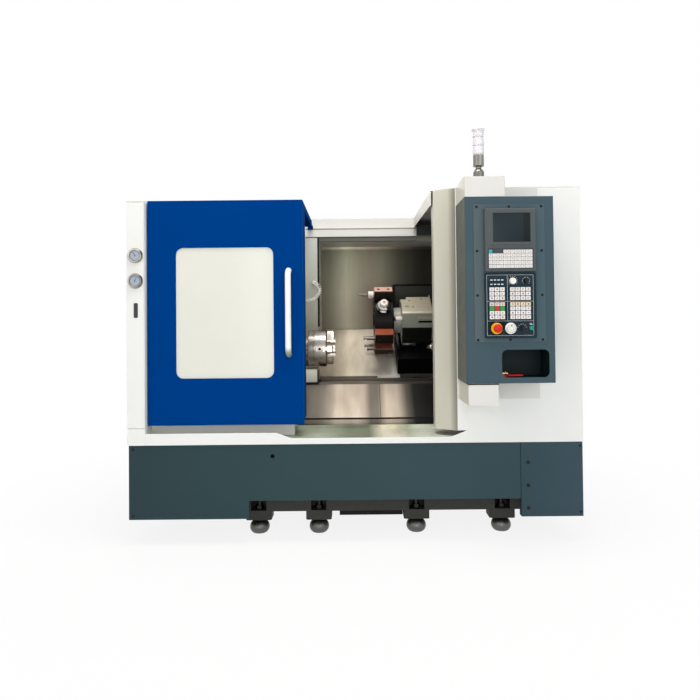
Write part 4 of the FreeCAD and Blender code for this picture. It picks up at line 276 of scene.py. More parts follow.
def metal(name, colour, rough, scale, depth, cloud, stretch=(1.0, 1.0, 1.0), metallic=1.0):
    """Bare metal: a grain drawn out along one axis, and a soft change of shade."""
    finish, shader, place = blank(name)
    shader.inputs["Metallic"].default_value = metallic
    grain = noise(finish, place, scale, 4.0, stretch)
    base = mottled(finish, noise(finish, place, 3.5, 4.0), colour, 1 - cloud, 1 + cloud)
    base = worn(finish, base, grain, 0.35, 0.92, 0.65)
    return surface(finish, shader, base, grain, rough - 0.06, rough + 0.08, grain, depth)


def cast(name, colour, rough=0.62, grit=160.0, depth=0.2):
    """Painted casting: sand grit under the paint, with grime in the low spots."""
    finish, shader, place = blank(name)
    shader.inputs["Specular IOR Level"].default_value = 0.3
    sand, patch = noise(finish, place, grit, 5.0), noise(finish, place, 7.0, 4.0)
    base = mottled(finish, patch, colour, 0.88, 1.08, 0.3, 0.68)
    base = worn(finish, base, sand, 0.34, 0.82, 0.55)
    return surface(finish, shader, base, patch, rough - 0.1, rough + 0.1, sand, depth, 0.0005)


def paint(piece, index, test):
    """Gives the faces that pass test(centre, normal) the finish of that number."""
    for face in piece.data.polygons:
        if test(face.center, face.normal):
            face.material_index = index


dressed("bed_casting", [cast("iron_dark", (56, 57, 52))], 0.003)
pad_steel = metal("pad_steel", (104, 104, 102), 0.42, 90.0, 0.06, 0.1, (1.0, 1.0, 8.0))
stud_dark = metal("stud_dark", (58, 57, 52), 0.45, 200.0, 0.06, 0.1)
pads = dressed("levelling_feet", [pad_steel, stud_dark], 0.0012)
paint(pads, 1, lambda centre, normal: centre.z > 0.0635)


# ---- skirt, end cover, tray and panel screws ----
# Folded steel sheet in dark slate enamel round the base, a separate cover at the right end held
# by round-headed screws, and a black coolant tray that slides in under the bed.
def tones(*stops):
    """Places along the machine in metres with their screen colours, each (place, r, g, b)."""
    return [(where, tone(*colour)) for where, *colour in stops]


def graded(finish, place, axis, stops):
    """Colours that change along one axis of the machine."""
    low, high = stops[0][0], stops[-1][0]
    split = added(finish, "SeparateXYZ")
    links(finish, (place, split.inputs[0]))
    along = spread(finish, split.outputs[axis], 0.0, 1.0, low, high)
    run = high - low
    return ramp(finish, along, [((where - low) / run, colour) for where, colour in stops])


def enamel(name, colour, rough=0.36, peel=0.03, cloud=0.02, shine=0.14, axis=None):
    """Sprayed enamel: orange peel and a faint change of shade. With an axis it takes tones."""
    finish, shader, place = blank(name)
    shader.inputs["Specular IOR Level"].default_value = shine
    faint = noise(finish, place, 2.2, 4.0)
    if axis:
        base = graded(finish, place, axis, colour)
        base = worn(finish, base, faint, 0.32, 1 - 2 * cloud, 0.68)
    else:
        base = mottled(finish, faint, colour, 1 - cloud, 1 + cloud, 0.32, 0.68)
    sheen, skin = noise(finish, place, 14.0, 4.0), noise(finish, place, 330.0, 2.0)
    return surface(finish, shader, base, sheen, rough - 0.04, rough + 0.07, skin, peel, 0.0004)


# The slate is painted darker towards the left end and lighter towards the right, where the key
# light stands: painted shade along the skirt.
slate = enamel(
    "slate_enamel_painted_shade",
    tones((-1.1, 42, 62, 68), (-0.3, 47, 70, 74), (0.8, 52, 74, 81), (1.1, 58, 77, 88)),
    axis="X",
)
sheet_edge = 0.0011
dressed("base_skirt", [slate], sheet_edge)
dressed("base_end_cover", [slate], sheet_edge)
tray_black = enamel("tray_black", (26, 27, 26), 0.5, 0.06, 0.06)
dressed("coolant_tray", [tray_black], 0.0009)


def sunk(piece, chosen, inset, depth):
    """Insets the chosen faces and pushes them in, as a recess. chosen(centre, normal) is a test."""
    alone(piece)
    mode("EDIT")
    bpy.ops.mesh.select_mode(type="FACE")
    bpy.ops.mesh.select_all(action="DESELECT")
    mode("OBJECT")
    for face in piece.data.polygons:
        face.select = chosen(face.center, face.normal)
    mode("EDIT")
    bpy.ops.mesh.inset(thickness=inset, use_individual=True)
    bpy.ops.mesh.extrude_region_shrink_fatten(
        TRANSFORM_OT_shrink_fatten={"value": -depth},
        MESH_OT_extrude_region={"use_normal_flip": False},
    )
    mode("OBJECT")


screw_black = moulded("screw_black", (22, 22, 24), 0.5, 500.0, 0.02)
screws = dressed("panel_screws", [screw_black], 0.0)
sunk(screws, lambda centre, normal: normal.y < -0.99, 0.0008, 0.001)


# ---- cabinet, roof and sill ----
# Folded sheet-steel cabinet in warm white enamel. The rear beam carries the grey rail band of the
# sliding door, and the sill's ledge is bare sheet that drains into the work area.
def at(x, y, z):
    """A place in the frame, from the drawing's millimetres, with y behind the cabinet's front."""
    return Vector((x / 1000, y / 1000 + cabinet_front, z / 1000))


def inside(x=(-9000, 9000), y=(-9000, 9000), z=(-9000, 9000)):
    """A test for faces whose centre is between these limits of the drawing."""
    low, high = at(x[0], y[0], z[0]), at(x[1], y[1], z[1])
    return lambda centre, normal: all(a < b < c for a, b, c in zip(low, centre, high))


def sheet_steel(name, stops, rough, metallic, stretch=(14.0, 1.0, 1.0), heights=None):
    """Brushed, stained sheet whose painted light, shade and reflections change along X, and up its
    height where heights are given.
    """
    finish, shader, place = blank(name)
    shader.inputs["Metallic"].default_value = metallic
    brushed = noise(finish, place, 26.0, 4.0, stretch)
    dried = noise(finish, place, 3.0, 2.5, (3.2, 1.0, 0.5))
    stains = ramp(finish, dried, [(0.36, (0.74, 0.73, 0.71)), (0.62, (1.0, 1.0, 1.0))])
    base = times(finish, graded(finish, place, "X", stops), stains)
    if heights:
        base = times(finish, base, graded(finish, place, "Z", heights))
    base = worn(finish, base, brushed, 0.35, 0.95, 0.65)
    return surface(finish, shader, base, dried, rough - 0.05, rough + 0.08, brushed, 0.02)


white = enamel("white_enamel", (237, 238, 235), 0.36, 0.02, 0.01)
# A darker, warmer copy of the white for faces that turn to the left: painted shade.
shaded_side_white = enamel("shaded_side_white_enamel", (224, 220, 206), 0.38, 0.02, 0.01)
# Painted shade for the left-facing faces of the right cabinet: a darker copy of the white that
# darkens further from about 0.47 m towards the control box.
column_painted_shade = enamel(
    "column_painted_shade_enamel",
    tones(
        (0.396, 206, 203, 188), (0.462, 202, 199, 184), (0.482, 160, 158, 144),
        (0.497, 132, 131, 118),
    ),
    0.38,
    0.02,
    0.01,
    axis="X",
)
roof_white = enamel("roof_white_enamel", (222, 221, 216), 0.38, 0.02, 0.01)
band_grey = enamel("band_grey", (146, 149, 136), 0.45, 0.03)
# Near-black for the chute's seam, and for thin strips laid along gaps and under edges as painted
# shadow.
dark_seam_and_shadow = enamel("dark_seam_and_painted_shadow", (26, 26, 25), 0.6, 0.05)
dressed("left_cabinet", [white], sheet_edge)
right_cabinet = dressed("right_cabinet", [white, column_painted_shade], sheet_edge)
# The right cabinet's left-facing faces get the painted shade.
paint(right_cabinet, 1, lambda centre, normal: normal.x < -0.5)
dressed("rear_cover", [white], sheet_edge)
# A dark green-grey copy of the paint for the roof's underside towards the right: painted shade.
roof_underside_shade = enamel("roof_underside_shade", (58, 66, 61), 0.5, 0.03)
roof_finishes = [roof_white, band_grey, roof_underside_shade, shaded_side_white]
roof = dressed("roof_beam", roof_finishes, sheet_edge)
# Downward faces of the roof right of 0.384 m get the painted shade.
paint(roof, 2, lambda centre, normal: normal.z < -0.9 and centre.x > 0.384)
# The roof's left-facing faces get the darker white as painted shade.
paint(roof, 3, lambda centre, normal: normal.x < -0.9 and centre.x > 0.3)
paint(roof, 1, inside(y=(-9000, 940), z=(-9000, 1603)))
# The ledge's colour carries painted light and shade along X: dark near the middle, bright on either
# side of it.
ledge_painted_light = tones(
    (-0.43, 214, 222, 208), (-0.34, 196, 206, 184), (-0.28, 208, 218, 194), (-0.03, 144, 154, 132),
    (0.07, 128, 138, 116), (0.14, 244, 238, 216), (0.21, 250, 244, 222), (0.27, 206, 212, 188),
    (0.36, 244, 248, 232),
)
ledge_sheet = sheet_steel("ledge_sheet", ledge_painted_light, 0.44, 0.08, (0.6, 9.0, 1.0))
sill = dressed("front_sill", [white, ledge_sheet], sheet_edge)
ledge_front = at(0, 6, 0).y
paint(sill, 1, lambda centre, normal: normal.z > 0.9 and centre.y > ledge_front and centre.z < 0.53)
paint(sill, 1, inside(y=(255, 9000)))
dressed("inner_front_panel", [roof_white], sheet_edge)


def start(name):
    """An empty mesh opened for editing, so that each block and rod added lands in it."""
    alone(placed(name, bpy.data.meshes.new(name)))
    mode("EDIT")


def slab(middle, size, turn=(0.0, 0.0, 0.0)):
    """A box about a place of the frame, of a size in metres, turned about its middle."""
    bpy.ops.mesh.primitive_cube_add(size=1.0, location=middle, rotation=turn, scale=size)


def block(low, high):
    """A box between two corners of the drawing."""
    corner, opposite = at(*low), at(*high)
    slab((corner + opposite) / 2, [abs(far - near) for near, far in zip(corner, opposite)])


def done(finishes, body="machine", edge=0.0003):
    """Closes the piece being edited, breaks its edges and hangs it on its body."""
    piece = bpy.context.object
    mode("OBJECT")
    for finish in finishes:
        piece.data.materials.append(finish)
    bpy.ops.object.shade_smooth_by_angle(angle=math.radians(32))
    if edge:
        break_edges(piece, edge, 1, 40, False)
    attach(piece, body)
    return piece


# Thin dark strips along the beam's front: painted shadow lines under its folds.
start("beam_shadow_lines")
block((-240, 897.5, 1599.5), (395, 901, 1603))
block((-240, 897.5, 1571.5), (395, 901, 1574.5))
done([dark_seam_and_shadow])
start("beam_joint")
block((-300, 887.3, 1648), (396, 889, 1655.5))
done([band_grey])
# A dark sheet in front of the beam's right end, where it lies under the roof: painted shadow.
start("roof_shadow_sheet")
block((397.5, 886.4, 1603.5), (520, 887.8, 1671))
done([roof_underside_shade])
# A dark strip along the duct under the control box: a painted shadow line.
start("duct_shadow_line")
block((505, -236, 787), (642, -2, 792.6))
done([dark_seam_and_shadow])

# ---- stainless work area ----
# Brushed stainless sheet on the back wall, the right wall and the slope, folded down to a chute
# that has a seam below the turret. It is clouded with coolant, and its soft reflections, light and
# shade are painted into its colour along its length and up the wall.
# Painted reflections and shade on the back wall along X, darkest on the right behind the tower.
wall_painted_reflections = tones(
    (-0.3, 118, 114, 98), (-0.17, 130, 128, 112), (-0.05, 184, 180, 160), (0.04, 156, 152, 134),
    (0.12, 146, 134, 120), (0.19, 136, 132, 116), (0.3, 98, 95, 83), (0.42, 72, 70, 60),
)
# Painted light up the wall's height: darker low down, with a bright painted reflection band from
# 1.566 m.
wall_height_painted_light = [
    (1.1, (0.62, 0.6, 0.58)),
    (1.26, (0.72, 0.7, 0.68)),
    (1.4, (0.66, 0.68, 0.64)),
    (1.55, (0.64, 0.66, 0.62)),
    (1.566, (2.1, 2.0, 1.85)),
    (1.6, (2.1, 2.0, 1.85)),
]
wall_steel = sheet_steel("wall_steel", wall_painted_reflections, 0.42, 0.85, heights=wall_height_painted_light)
# Painted light and shade on the slope: dark at the left, bright in the middle and under the turret.
slope_painted_light = tones(
    (-0.3, 124, 114, 102), (-0.14, 176, 162, 144), (-0.04, 252, 238, 216), (0.12, 255, 244, 226),
    (0.26, 255, 248, 234), (0.76, 150, 140, 126),
)
slope_steel = sheet_steel("slope_steel", slope_painted_light, 0.36, 0.05)
# Painted reflections on the chute: darker bands for the turret, near-black on the right for the
# shroud.
chute_painted_reflections = tones(
    (-0.3, 108, 102, 92), (-0.17, 134, 126, 114), (-0.1, 196, 182, 166), (0.0, 198, 184, 167),
    (0.05, 176, 162, 148), (0.085, 104, 96, 86), (0.125, 112, 104, 94), (0.17, 184, 170, 154),
    (0.235, 184, 170, 156), (0.285, 96, 90, 80), (0.325, 18, 17, 15), (0.76, 14, 13, 12),
)
chute_steel = sheet_steel("chute_steel", chute_painted_reflections, 0.38, 0.6)
# Painted shade on the ways, darker to the right under the shroud.
way_painted_shade = tones((-0.3, 112, 102, 92), (0.1, 118, 108, 96), (0.3, 56, 52, 47), (0.76, 40, 38, 34))
way_steel = sheet_steel("way_steel", way_painted_shade, 0.5, 0.15)
dressed("back_wall", [wall_steel], 0.0008)
slant = math.radians(30)
slope_up = Vector((0.0, math.cos(slant), math.sin(slant)))
slope_out = Vector((0.0, -math.sin(slant), math.cos(slant)))
fold_front = at(0, 484, 0).y
guards = dressed("chip_guards", [slope_steel, chute_steel, way_steel], 0.0008)
paint(guards, 1, inside(y=(-9000, 560), z=(-9000, 740)))
paint(
    guards,
    2,
    lambda centre, normal: 0.69 < centre.z < 0.745
    and centre.y > fold_front
    and abs(normal.x) < 0.5
    and normal.dot(slope_out) < 0.985,
)
# A dark strip where the chute meets the sill: a painted shadow line.
start("chute_foot_shadow")
block((-298, 296, 552), (758, 300, 561))
done([dark_seam_and_shadow])
chute_run, chute_rise = 200.0, 157.0
start("chute_seam")
chute_slant = (math.atan2(chute_rise, chute_run), 0.0, 0.0)
slab(at(137.8, 400.2, 638.0), (0.0026, 0.246, 0.0012), chute_slant)
done([dark_seam_and_shadow], edge=0.0)

# ---- guide ways and lengthwise screw ----
# Ground steel profile rails and tailstock ways bolted to the bed, and the rolled ball screw that
# draws the saddle along between its bearing blocks.
ground = metal("ground_steel", (200, 196, 190), 0.22, 40.0, 0.02, 0.04, (30.0, 1.0, 1.0))
ways = dressed("guide_ways", [ground, way_steel], 0.0006)
paint(ways, 1, inside(y=(-9000, 735)))
dressed("z_screw", [ground], 0.0, "z_ball_screw")

# ---- headstock, spindle and drive ----
# Cast headstock with a turned steel spindle in three bearing rings, driven by a ribbed belt from
# a finned motor below. A painted guard with fine light speckles covers it in the work area.
iron_grey = cast("iron_grey", (122, 120, 110), 0.55, 200.0, 0.12)
dressed("headstock", [iron_grey], 0.002)
speckled, shader, place = blank("speckled_enamel")
shader.inputs["Specular IOR Level"].default_value = 0.3
speckles = noise(speckled, place, 420.0, 1.0)
# The guard's colour carries painted light and shade up its height, with a bright band near 0.79 m
# for its lit top face.
guard_painted_light_by_height = tones(
    (0.72, 180, 184, 175), (0.79, 255, 250, 234), (1.03, 196, 193, 176), (1.3, 208, 208, 198),
    (1.55, 228, 229, 223), (1.6, 228, 229, 223),
)
speckle_shades = [(0.34, (0.86, 0.86, 0.86)), (0.46, (0.97, 0.97, 0.97)), (0.72, (1.0, 1.0, 1.0))]
speckled_colour = times(
    speckled,
    graded(speckled, place, "Z", guard_painted_light_by_height),
    ramp(speckled, speckles, speckle_shades),
)
surface(speckled, shader, speckled_colour, speckles, 0.38, 0.5, speckles, 0.05, 0.0003)
dressed("headstock_cover", [speckled], 0.0015)
# Dark strips for the guard's right side and round the low box stand in for their shaded side faces:
# painted shade.
start("guard_shadow_strips")
block((-218, 718, 1040), (-207, 731, 1572))
block((-211, 498.4, 722), (-202, 508, 801))
block((-299, 497.5, 716), (-202, 503, 729.5))
done([dark_seam_and_shadow], edge=0.0008)
dressed("spindle_bearings", [ground], 0.0008)

# Metal turned about the spindle line has fine rings on its faces and a grain round its sides.
spindle_line = at(0, 550, 919)
bright_turned, shader, place = blank("bright_turned")
shader.inputs["Metallic"].default_value = 1.0
to_line = (0.0, -spindle_line.y, -spindle_line.z)
moved = added(bright_turned, "Mapping", {"Location": to_line})
flat = added(bright_turned, "VectorMath", {1: (0.0, 1.0, 1.0)}, operation="MULTIPLY")
radius = added(bright_turned, "VectorMath", operation="LENGTH")
split = added(bright_turned, "SeparateXYZ")
join = added(bright_turned, "CombineXYZ")
rings = added(bright_turned, "TexNoise", {"Scale": 900.0, "Detail": 2.0})
ring_grain = rings.outputs["Fac"]
links(
    bright_turned,
    (place, moved.inputs["Vector"]),
    (moved.outputs[0], flat.inputs[0]),
    (flat.outputs[0], radius.inputs[0]),
    (moved.outputs[0], split.inputs[0]),
    (split.outputs["X"], join.inputs["X"]),
    (radius.outputs["Value"], join.inputs["Y"]),
    (join.outputs[0], rings.inputs["Vector"]),
)
surface(
    bright_turned,
    shader,
    mottled(bright_turned, ring_grain, (182, 175, 168), 0.86, 1.06),
    noise(bright_turned, place, 20.0),
    0.26 - 0.05,
    0.26 + 0.07,
    ring_grain,
    0.06,
)
dressed("spindle", [bright_turned], 0.0008, "spindle_assembly")
dressed("drawtube", [bright_turned], 0.0008, "drawtube")
motor_enamel = enamel("motor_enamel", (58, 62, 66), 0.5, 0.08)
dressed("drive_motors", [motor_enamel], 0.0015)
pulley_steel = metal("pulley_steel", (120, 116, 108), 0.34, 60.0, 0.04, 0.08, (1.0, 12.0, 12.0))
dressed("motor_pulley", [pulley_steel], 0.0008, "motor_shaft")
belt_rubber = moulded("belt_rubber", (26, 26, 27), 0.62, 700.0, 0.2, 0.1)
dressed("drive_belt", [belt_rubber], 0.0006)


# ---- chuck and jaws ----
# Three-jaw power chuck, turned and ground, with hardened stepped jaws in T-slots, drawn in and out
# by the tube through the spindle. A socket screw in its side works the jaw pinion.
def rod(middle, radius, length, along="Y", sides=32):
    """A round bar about a place of the drawing."""
    quarter = math.pi / 2
    bpy.ops.mesh.primitive_cylinder_add(
        vertices=sides,
        radius=radius / 1000,
        depth=length / 1000,
        location=at(*middle),
        rotation={"X": (0.0, quarter, 0.0), "Y": (quarter, 0.0, 0.0), "Z": (0.0, 0.0, 0.0)}[along],
    )


black_steel = metal("black_steel", (58, 58, 60), 0.42, 240.0, 0.05, 0.1)
dressed("chuck_body", [bright_turned, black_steel], 0.0012, "spindle_assembly")
socket_black = metal("socket_black", (28, 27, 26), 0.4, 200.0, 0.04, 0.05)
jaw_steel = metal("jaw_steel", (206, 196, 186), 0.26, 60.0, 0.03, 0.04, (1.0, 10.0, 1.0))
for side in ("front", "upper", "lower"):
    dressed("jaw_" + side, [jaw_steel], 0.0009, side + "_jaw")
start("pinion_screw")
rod((-193, 447, 919), 13, 5)
pinion = done([bright_turned, socket_black], "spindle_assembly", 0.0008)
sunk(pinion, lambda centre, normal: normal.y < -0.99, 0.003, 0.0001)
# A black hexagon on the screw's face stands in for its socket hole: painted shade.
start("pinion_socket_shade")
rod((-193, 445.5, 919), 8.5, 3, sides=6)
done([socket_black], "spindle_assembly")

# ---- saddle, shroud and cross feed ----
# Cast saddle on the slant ways under a folded black shroud with a tower at its back, and stainless
# way covers that slide out from under it on both sides.
dressed("saddle", [iron_grey], 0.0015, "carriage")
shroud_black = enamel("shroud_black", (6, 7, 7), 0.42, 0.03, 0.02, 0.1)
tower_grey = enamel("tower_grey", (46, 45, 40), 0.42, 0.03, 0.03, 0.25)
shroud_finishes = [shroud_black, slope_steel, tower_grey]
shroud = dressed("saddle_cover", shroud_finishes, sheet_edge, "carriage")
paint(shroud, 1, lambda centre, normal: not 0.2585 < centre.x < 0.5055)
paint(shroud, 2, lambda centre, normal: normal.y < -0.9 and centre.z > 1.13)
start("tower_trim")
block((258.4, 999.6, 1293), (505.6, 1012, 1305.6))
block((258.4, 999.6, 1141), (268, 1012, 1294))
done([shroud_black], "carriage", 0.001)
dressed("x_screw", [ground], 0.0, "x_ball_screw")

# ---- turret and tools ----
# Indexing turret: a cast housing with a machined top, a twelve-sided disc, and steel blocks that
# have gone brown with oil and heat, holding drills and boring bars. The blocks' upward faces are
# painted pink and orange as painted light, and their lower faces dark as painted shade.
lengthwise, upright, oily = (9.0, 1.0, 1.0), (1.0, 1.0, 6.0), 0.35
housing_paint = enamel("housing_paint", (168, 170, 158), 0.3, 0.04, 0.03, 0.4)
housing_top = metal("housing_top", (212, 202, 178), 0.42, 60.0, 0.03, 0.06, lengthwise, oily)
gloss_black = enamel("gloss_black", (20, 22, 18), 0.16, 0.02, 0.02, 0.5)
copper_ring = metal("copper_ring", (216, 150, 96), 0.3, 60.0, 0.03, 0.06, (1.0, 8.0, 8.0))
nozzle_white = moulded("nozzle_white", (240, 232, 222), 0.35, 500.0, 0.03)


def slanted(place):
    """How far a place of the frame lies up the slope and out from it, in metres."""
    rise = place - spindle_line
    return rise.dot(slope_up), rise.dot(slope_out)


def on_slope(x=(-9.0, 9.0), up=(-9.0, 9.0), out=(-9.0, 9.0)):
    """A test for faces whose centre is between these limits along, up and out from the slope."""

    def test(centre, normal):
        rise, stand = slanted(centre)
        return x[0] < centre.x < x[1] and up[0] < rise < up[1] and out[0] < stand < out[1]

    return test


housing = dressed(
    "turret_housing",
    [housing_paint, housing_top, gloss_black, shroud_black, copper_ring, nozzle_white],
    0.0016,
    "cross_slide",
)
ring_up, ring_out = (0.192, 0.232), (0.046, 0.086)
paint(
    housing,
    1,
    lambda centre, normal: normal.dot(slope_out) > 0.5 and slanted(centre)[1] > 0.1,
)
# A thin lighter strip on the front stands in for a reflection: painted highlight.
paint(housing, 1, on_slope((0.3788, 0.4582), (0.1835, 0.1849), (0.0828, 0.1012)))
# The inside of the slot is painted black: painted shade.
paint(housing, 3, on_slope((0.3825, 9.0), (0.1845, 0.1955), (0.0535, 0.0685)))
paint(housing, 2, on_slope(up=(-9.0, 0.1828), out=(-0.095, 9.0)))
paint(housing, 3, on_slope(out=(-9.0, -0.0955)))
paint(housing, 4, on_slope((0.238, 0.2545), ring_up, ring_out))
paint(housing, 5, on_slope((0.2545, 0.2858), ring_up, ring_out))
start("housing_fold")
fold_middle = at(330, 550, 919) + slope_up * 0.1745 + slope_out * -0.092
slab(fold_middle, (0.084, 0.007, 0.01), (slant, 0.0, 0.0))
done([jaw_steel], "cross_slide", 0.0008)
holder_brown = metal("holder_brown", (122, 66, 50), 0.4, 70.0, 0.05, 0.3, upright, oily)
holder_dark_and_shade = metal("holder_dark_and_shade", (52, 44, 40), 0.42, 70.0, 0.05, 0.14, upright)
across_x = (6.0, 1.0, 1.0)
holder_pink_painted_light = metal("holder_pink_painted_light", (236, 190, 172), 0.4, 70.0, 0.03, 0.12, across_x, oily)
holder_orange_painted_light = metal("holder_orange_painted_light", (186, 92, 56), 0.38, 70.0, 0.03, 0.25, across_x, oily)
chrome = metal("chrome_plate", (196, 192, 188), 0.16, 200.0, 0.01, 0.03)
disc = dressed("turret_disc", [holder_dark_and_shade, socket_black], 0.0015, "turret")
paint(disc, 1, lambda centre, normal: abs(normal.x) < 0.5)
turret_line = at(0, 816.7, 1073)


def round_turret(place):
    """A place's angle round the turret, 0 towards the operator, and its distance from the axis."""
    forward, up = turret_line.y - place.y, place.z - turret_line.z
    return math.degrees(math.atan2(up, forward)) % 360, math.hypot(forward, up)


def station(first, last, chosen):
    """A test for faces between two angles round the turret, with a further test of their own."""

    def test(centre, normal):
        angle, reach = round_turret(centre)
        return first < angle < last and chosen(centre, normal, reach)

    return test


holders = dressed(
    "tool_holders",
    [holder_brown, holder_dark_and_shade, holder_pink_painted_light, holder_orange_painted_light, chrome, nozzle_white, socket_black],
    0.0012,
    "turret",
)
# Downward faces and parts near the disc get the dark finish as painted shade; upward faces below
# get painted light.
paint(holders, 1, lambda centre, normal: normal.z < -0.7 or round_turret(centre)[1] < 0.15)
for index, first, last, chosen in (
    (1, 45, 75, lambda centre, normal, reach: normal.z < 0.3),
    (1, 318, 345, lambda centre, normal, reach: normal.z < 0.0),
    (2, 45, 75, lambda centre, normal, reach: normal.z > 0.8),
    (3, 330, 352, lambda centre, normal, reach: normal.z > 0.5),
    (4, 13, 46, lambda centre, normal, reach: reach < 0.2125 and centre.x > 0.12),
    (5, 20, 40, lambda centre, normal, reach: reach > 0.19),
):
    paint(holders, index, station(first, last, chosen))
tool_steel = metal("tool_steel", (118, 110, 102), 0.36, 60.0, 0.03, 0.12, (1.0, 6.0, 6.0))
tool_finishes = [tool_steel, black_steel, nozzle_white]
tools = dressed("cutting_tools", tool_finishes, 0.0005, "turret")
paint(tools, 2, lambda centre, normal: 0.084 < centre.x < 0.13 and centre.z > 1.2)
start("collet_screws")
outward = Vector((0.0, -math.cos(slant), math.sin(slant)))
aside = Vector((0.0, math.sin(slant), math.cos(slant)))
collet_x, bolt_circle, bolt_reach = 177.5, 39.5, 0.1705
for turn in (45, 135, 225, 315):
    spoke_x = collet_x + bolt_circle * math.cos(math.radians(turn))
    spoke = bolt_circle * math.sin(math.radians(turn))
    foot = Vector((spoke_x / 1000, turret_line.y, turret_line.z))
    bpy.ops.mesh.primitive_cylinder_add(
        vertices=20,
        radius=0.0058,
        depth=0.0075,
        location=foot + outward * bolt_reach + aside * spoke / 1000,
        rotation=(math.radians(60), 0.0, 0.0),
    )
done([socket_black], "turret", 0.0008)

# ---- tailstock ----
# Cast tailstock clamped to its own ways by a plate, with a ground quill and a turned live centre
# in its nose on the spindle line. Only the centre's tip shows beside the column.
dressed("tailstock", [iron_grey], 0.002, "tailstock_body")
dressed("quill", [ground], 0.0008, "quill")
dressed("live_centre", [bright_turned], 0.0004, "centre")

# ---- sliding door ----
# Blue enamelled door skin with a folded right edge and a hood over the roof. The pane is a thick
# cream-tinted polycarbonate sheet, and the handle a white-coated steel bar.
blue = enamel("blue_enamel", (0, 59, 131), 0.4, 0.02, 0.02, 0.0)
# A lighter copy of the blue for faces turned to the right, towards the key light: painted light.
blue_lit_side = enamel("blue_lit_side_enamel", (22, 74, 140), 0.5, 0.02, 0.02, 0.0)
door = dressed("door_panel", [blue, blue_lit_side], 0.0012, "door")
paint(door, 1, lambda centre, normal: normal.x > 0.5)
pane_cream = moulded("pane_cream", (233, 233, 223), 0.1, 90.0, 0.005, 0.01)
pane_shader = pane_cream.node_tree.nodes["Principled BSDF"]
pane_shader.inputs["Transmission Weight"].default_value = 0.08
pane_shader.inputs["IOR"].default_value = 1.5
dressed("door_window", [pane_cream], 0.0006, "door")
# The handle's white is painted darker towards its lower end, below about 0.95 m: painted shade.
handle_painted_shade = tones(
    (0.905, 112, 124, 110), (0.928, 160, 166, 152), (0.952, 246, 248, 244), (1.32, 252, 252, 248)
)
handle_white = enamel("handle_white", handle_painted_shade, 0.22, 0.02, 0.02, 0.4, "Z")
dressed("door_handle", [handle_white], 0.0, "door")


# ---- service door, gauges and latch ----
# The left corner of the cabinet is a door of one bent sheet. Two glycerine gauges in chrome rims
# are pushed through it, above a flush black lever latch.
def ring(place, radius, wire, sides, round_sides):
    """A thin ring that faces the operator."""
    bpy.ops.mesh.primitive_torus_add(
        major_radius=radius,
        minor_radius=wire,
        major_segments=sides,
        minor_segments=round_sides,
        location=at(*place),
        rotation=(math.pi / 2, 0.0, 0.0),
    )


def spoke_mark(x, y, z, angle, reach, size):
    """A flat mark on a dial, at an angle and a reach in millimetres from the dial's middle."""
    turn = math.radians(angle)
    middle = at(x + reach * math.cos(turn), y, z + reach * math.sin(turn))
    slab(middle, size, (0.0, -turn, 0.0))


dressed("service_door", [white], sheet_edge, "service_leaf")
rim_chrome = metal("rim_chrome", (170, 164, 156), 0.14, 60.0, 0.02, 0.6)
dressed("pressure_gauges", [rim_chrome], 0.0006, "service_leaf")
dial_blue = moulded("dial_blue", (176, 186, 200), 0.3, 300.0, 0.01, 0.02)
dial_ink = moulded("dial_ink", (34, 42, 54), 0.5, 300.0, 0.01, 0.02)
gauge_x, upper_gauge, lower_gauge = -1056, 1402, 1279
start("gauge_dials")
for dial_z in (upper_gauge, lower_gauge):
    rod((gauge_x, -8.4, dial_z), 25.6, 1.2, sides=48)
done([dial_blue], "service_leaf", 0.0)
start("gauge_scales")
for dial_z, pointer in ((upper_gauge, 118), (lower_gauge, 64)):
    for mark in range(19):
        length = 4.6 if mark % 3 == 0 else 2.6
        size = (length / 1000, 0.0005, 0.0013)
        spoke_mark(gauge_x, -9.2, dial_z, 225 - mark * 15, 23.4 - length / 2, size)
    spoke_mark(gauge_x, -9.8, dial_z, pointer, 6, (0.026, 0.0006, 0.0024))
    rod((gauge_x, -10, dial_z), 3.2, 1.4, sides=20)
    ring((gauge_x, -10.6, dial_z), 0.0266, 0.0024, 48, 8)
done([dial_ink], "service_leaf", 0.0)
gauge_glass, shader, place = blank("gauge_glass")
shader.inputs["Transmission Weight"].default_value = 1.0
shader.inputs["IOR"].default_value = 1.2
glass_smear = noise(gauge_glass, place, 30.0)
glass_tint = ramp(gauge_glass, glass_smear, [(0.3, (0.96, 0.98, 1.0)), (0.7, (1.0, 1.0, 1.0))])
surface(gauge_glass, shader, glass_tint, noise(gauge_glass, place, 50.0), 0.02, 0.06)
start("gauge_glasses")
for dial_z in (upper_gauge, lower_gauge):
    rod((gauge_x, -12.2, dial_z), 25.8, 1.4, sides=48)
done([gauge_glass], "service_leaf")
latch_dark = moulded("latch_dark", (60, 62, 64), 0.4, 500.0, 0.08)
dressed("latch_handle", [latch_dark], 0.0008, "latch")

# ---- control box ----
# Slate steel box hung on the front face, with white ducts above and below it, a screwed-on face
# plate, and a rounded pocket for small things.
box_slate = enamel("box_slate", (65, 85, 94), 0.4, 0.04, 0.02, 0.12)
# A lighter, browner copy of the slate for the box's left side, standing in for the warm light it
# reflects: painted light.
box_side_painted_light = enamel("box_side_painted_light", (96, 99, 92), 0.4, 0.04, 0.02, 0.12)
# A darker copy of the slate for the inside of the pocket, where shade falls: painted shade.
pocket_painted_shade = enamel("pocket_painted_shade", (24, 36, 39), 0.45, 0.04, 0.02, 0.12)
control_box = dressed("control_box", [box_slate, box_side_painted_light, pocket_painted_shade], 0.0009)
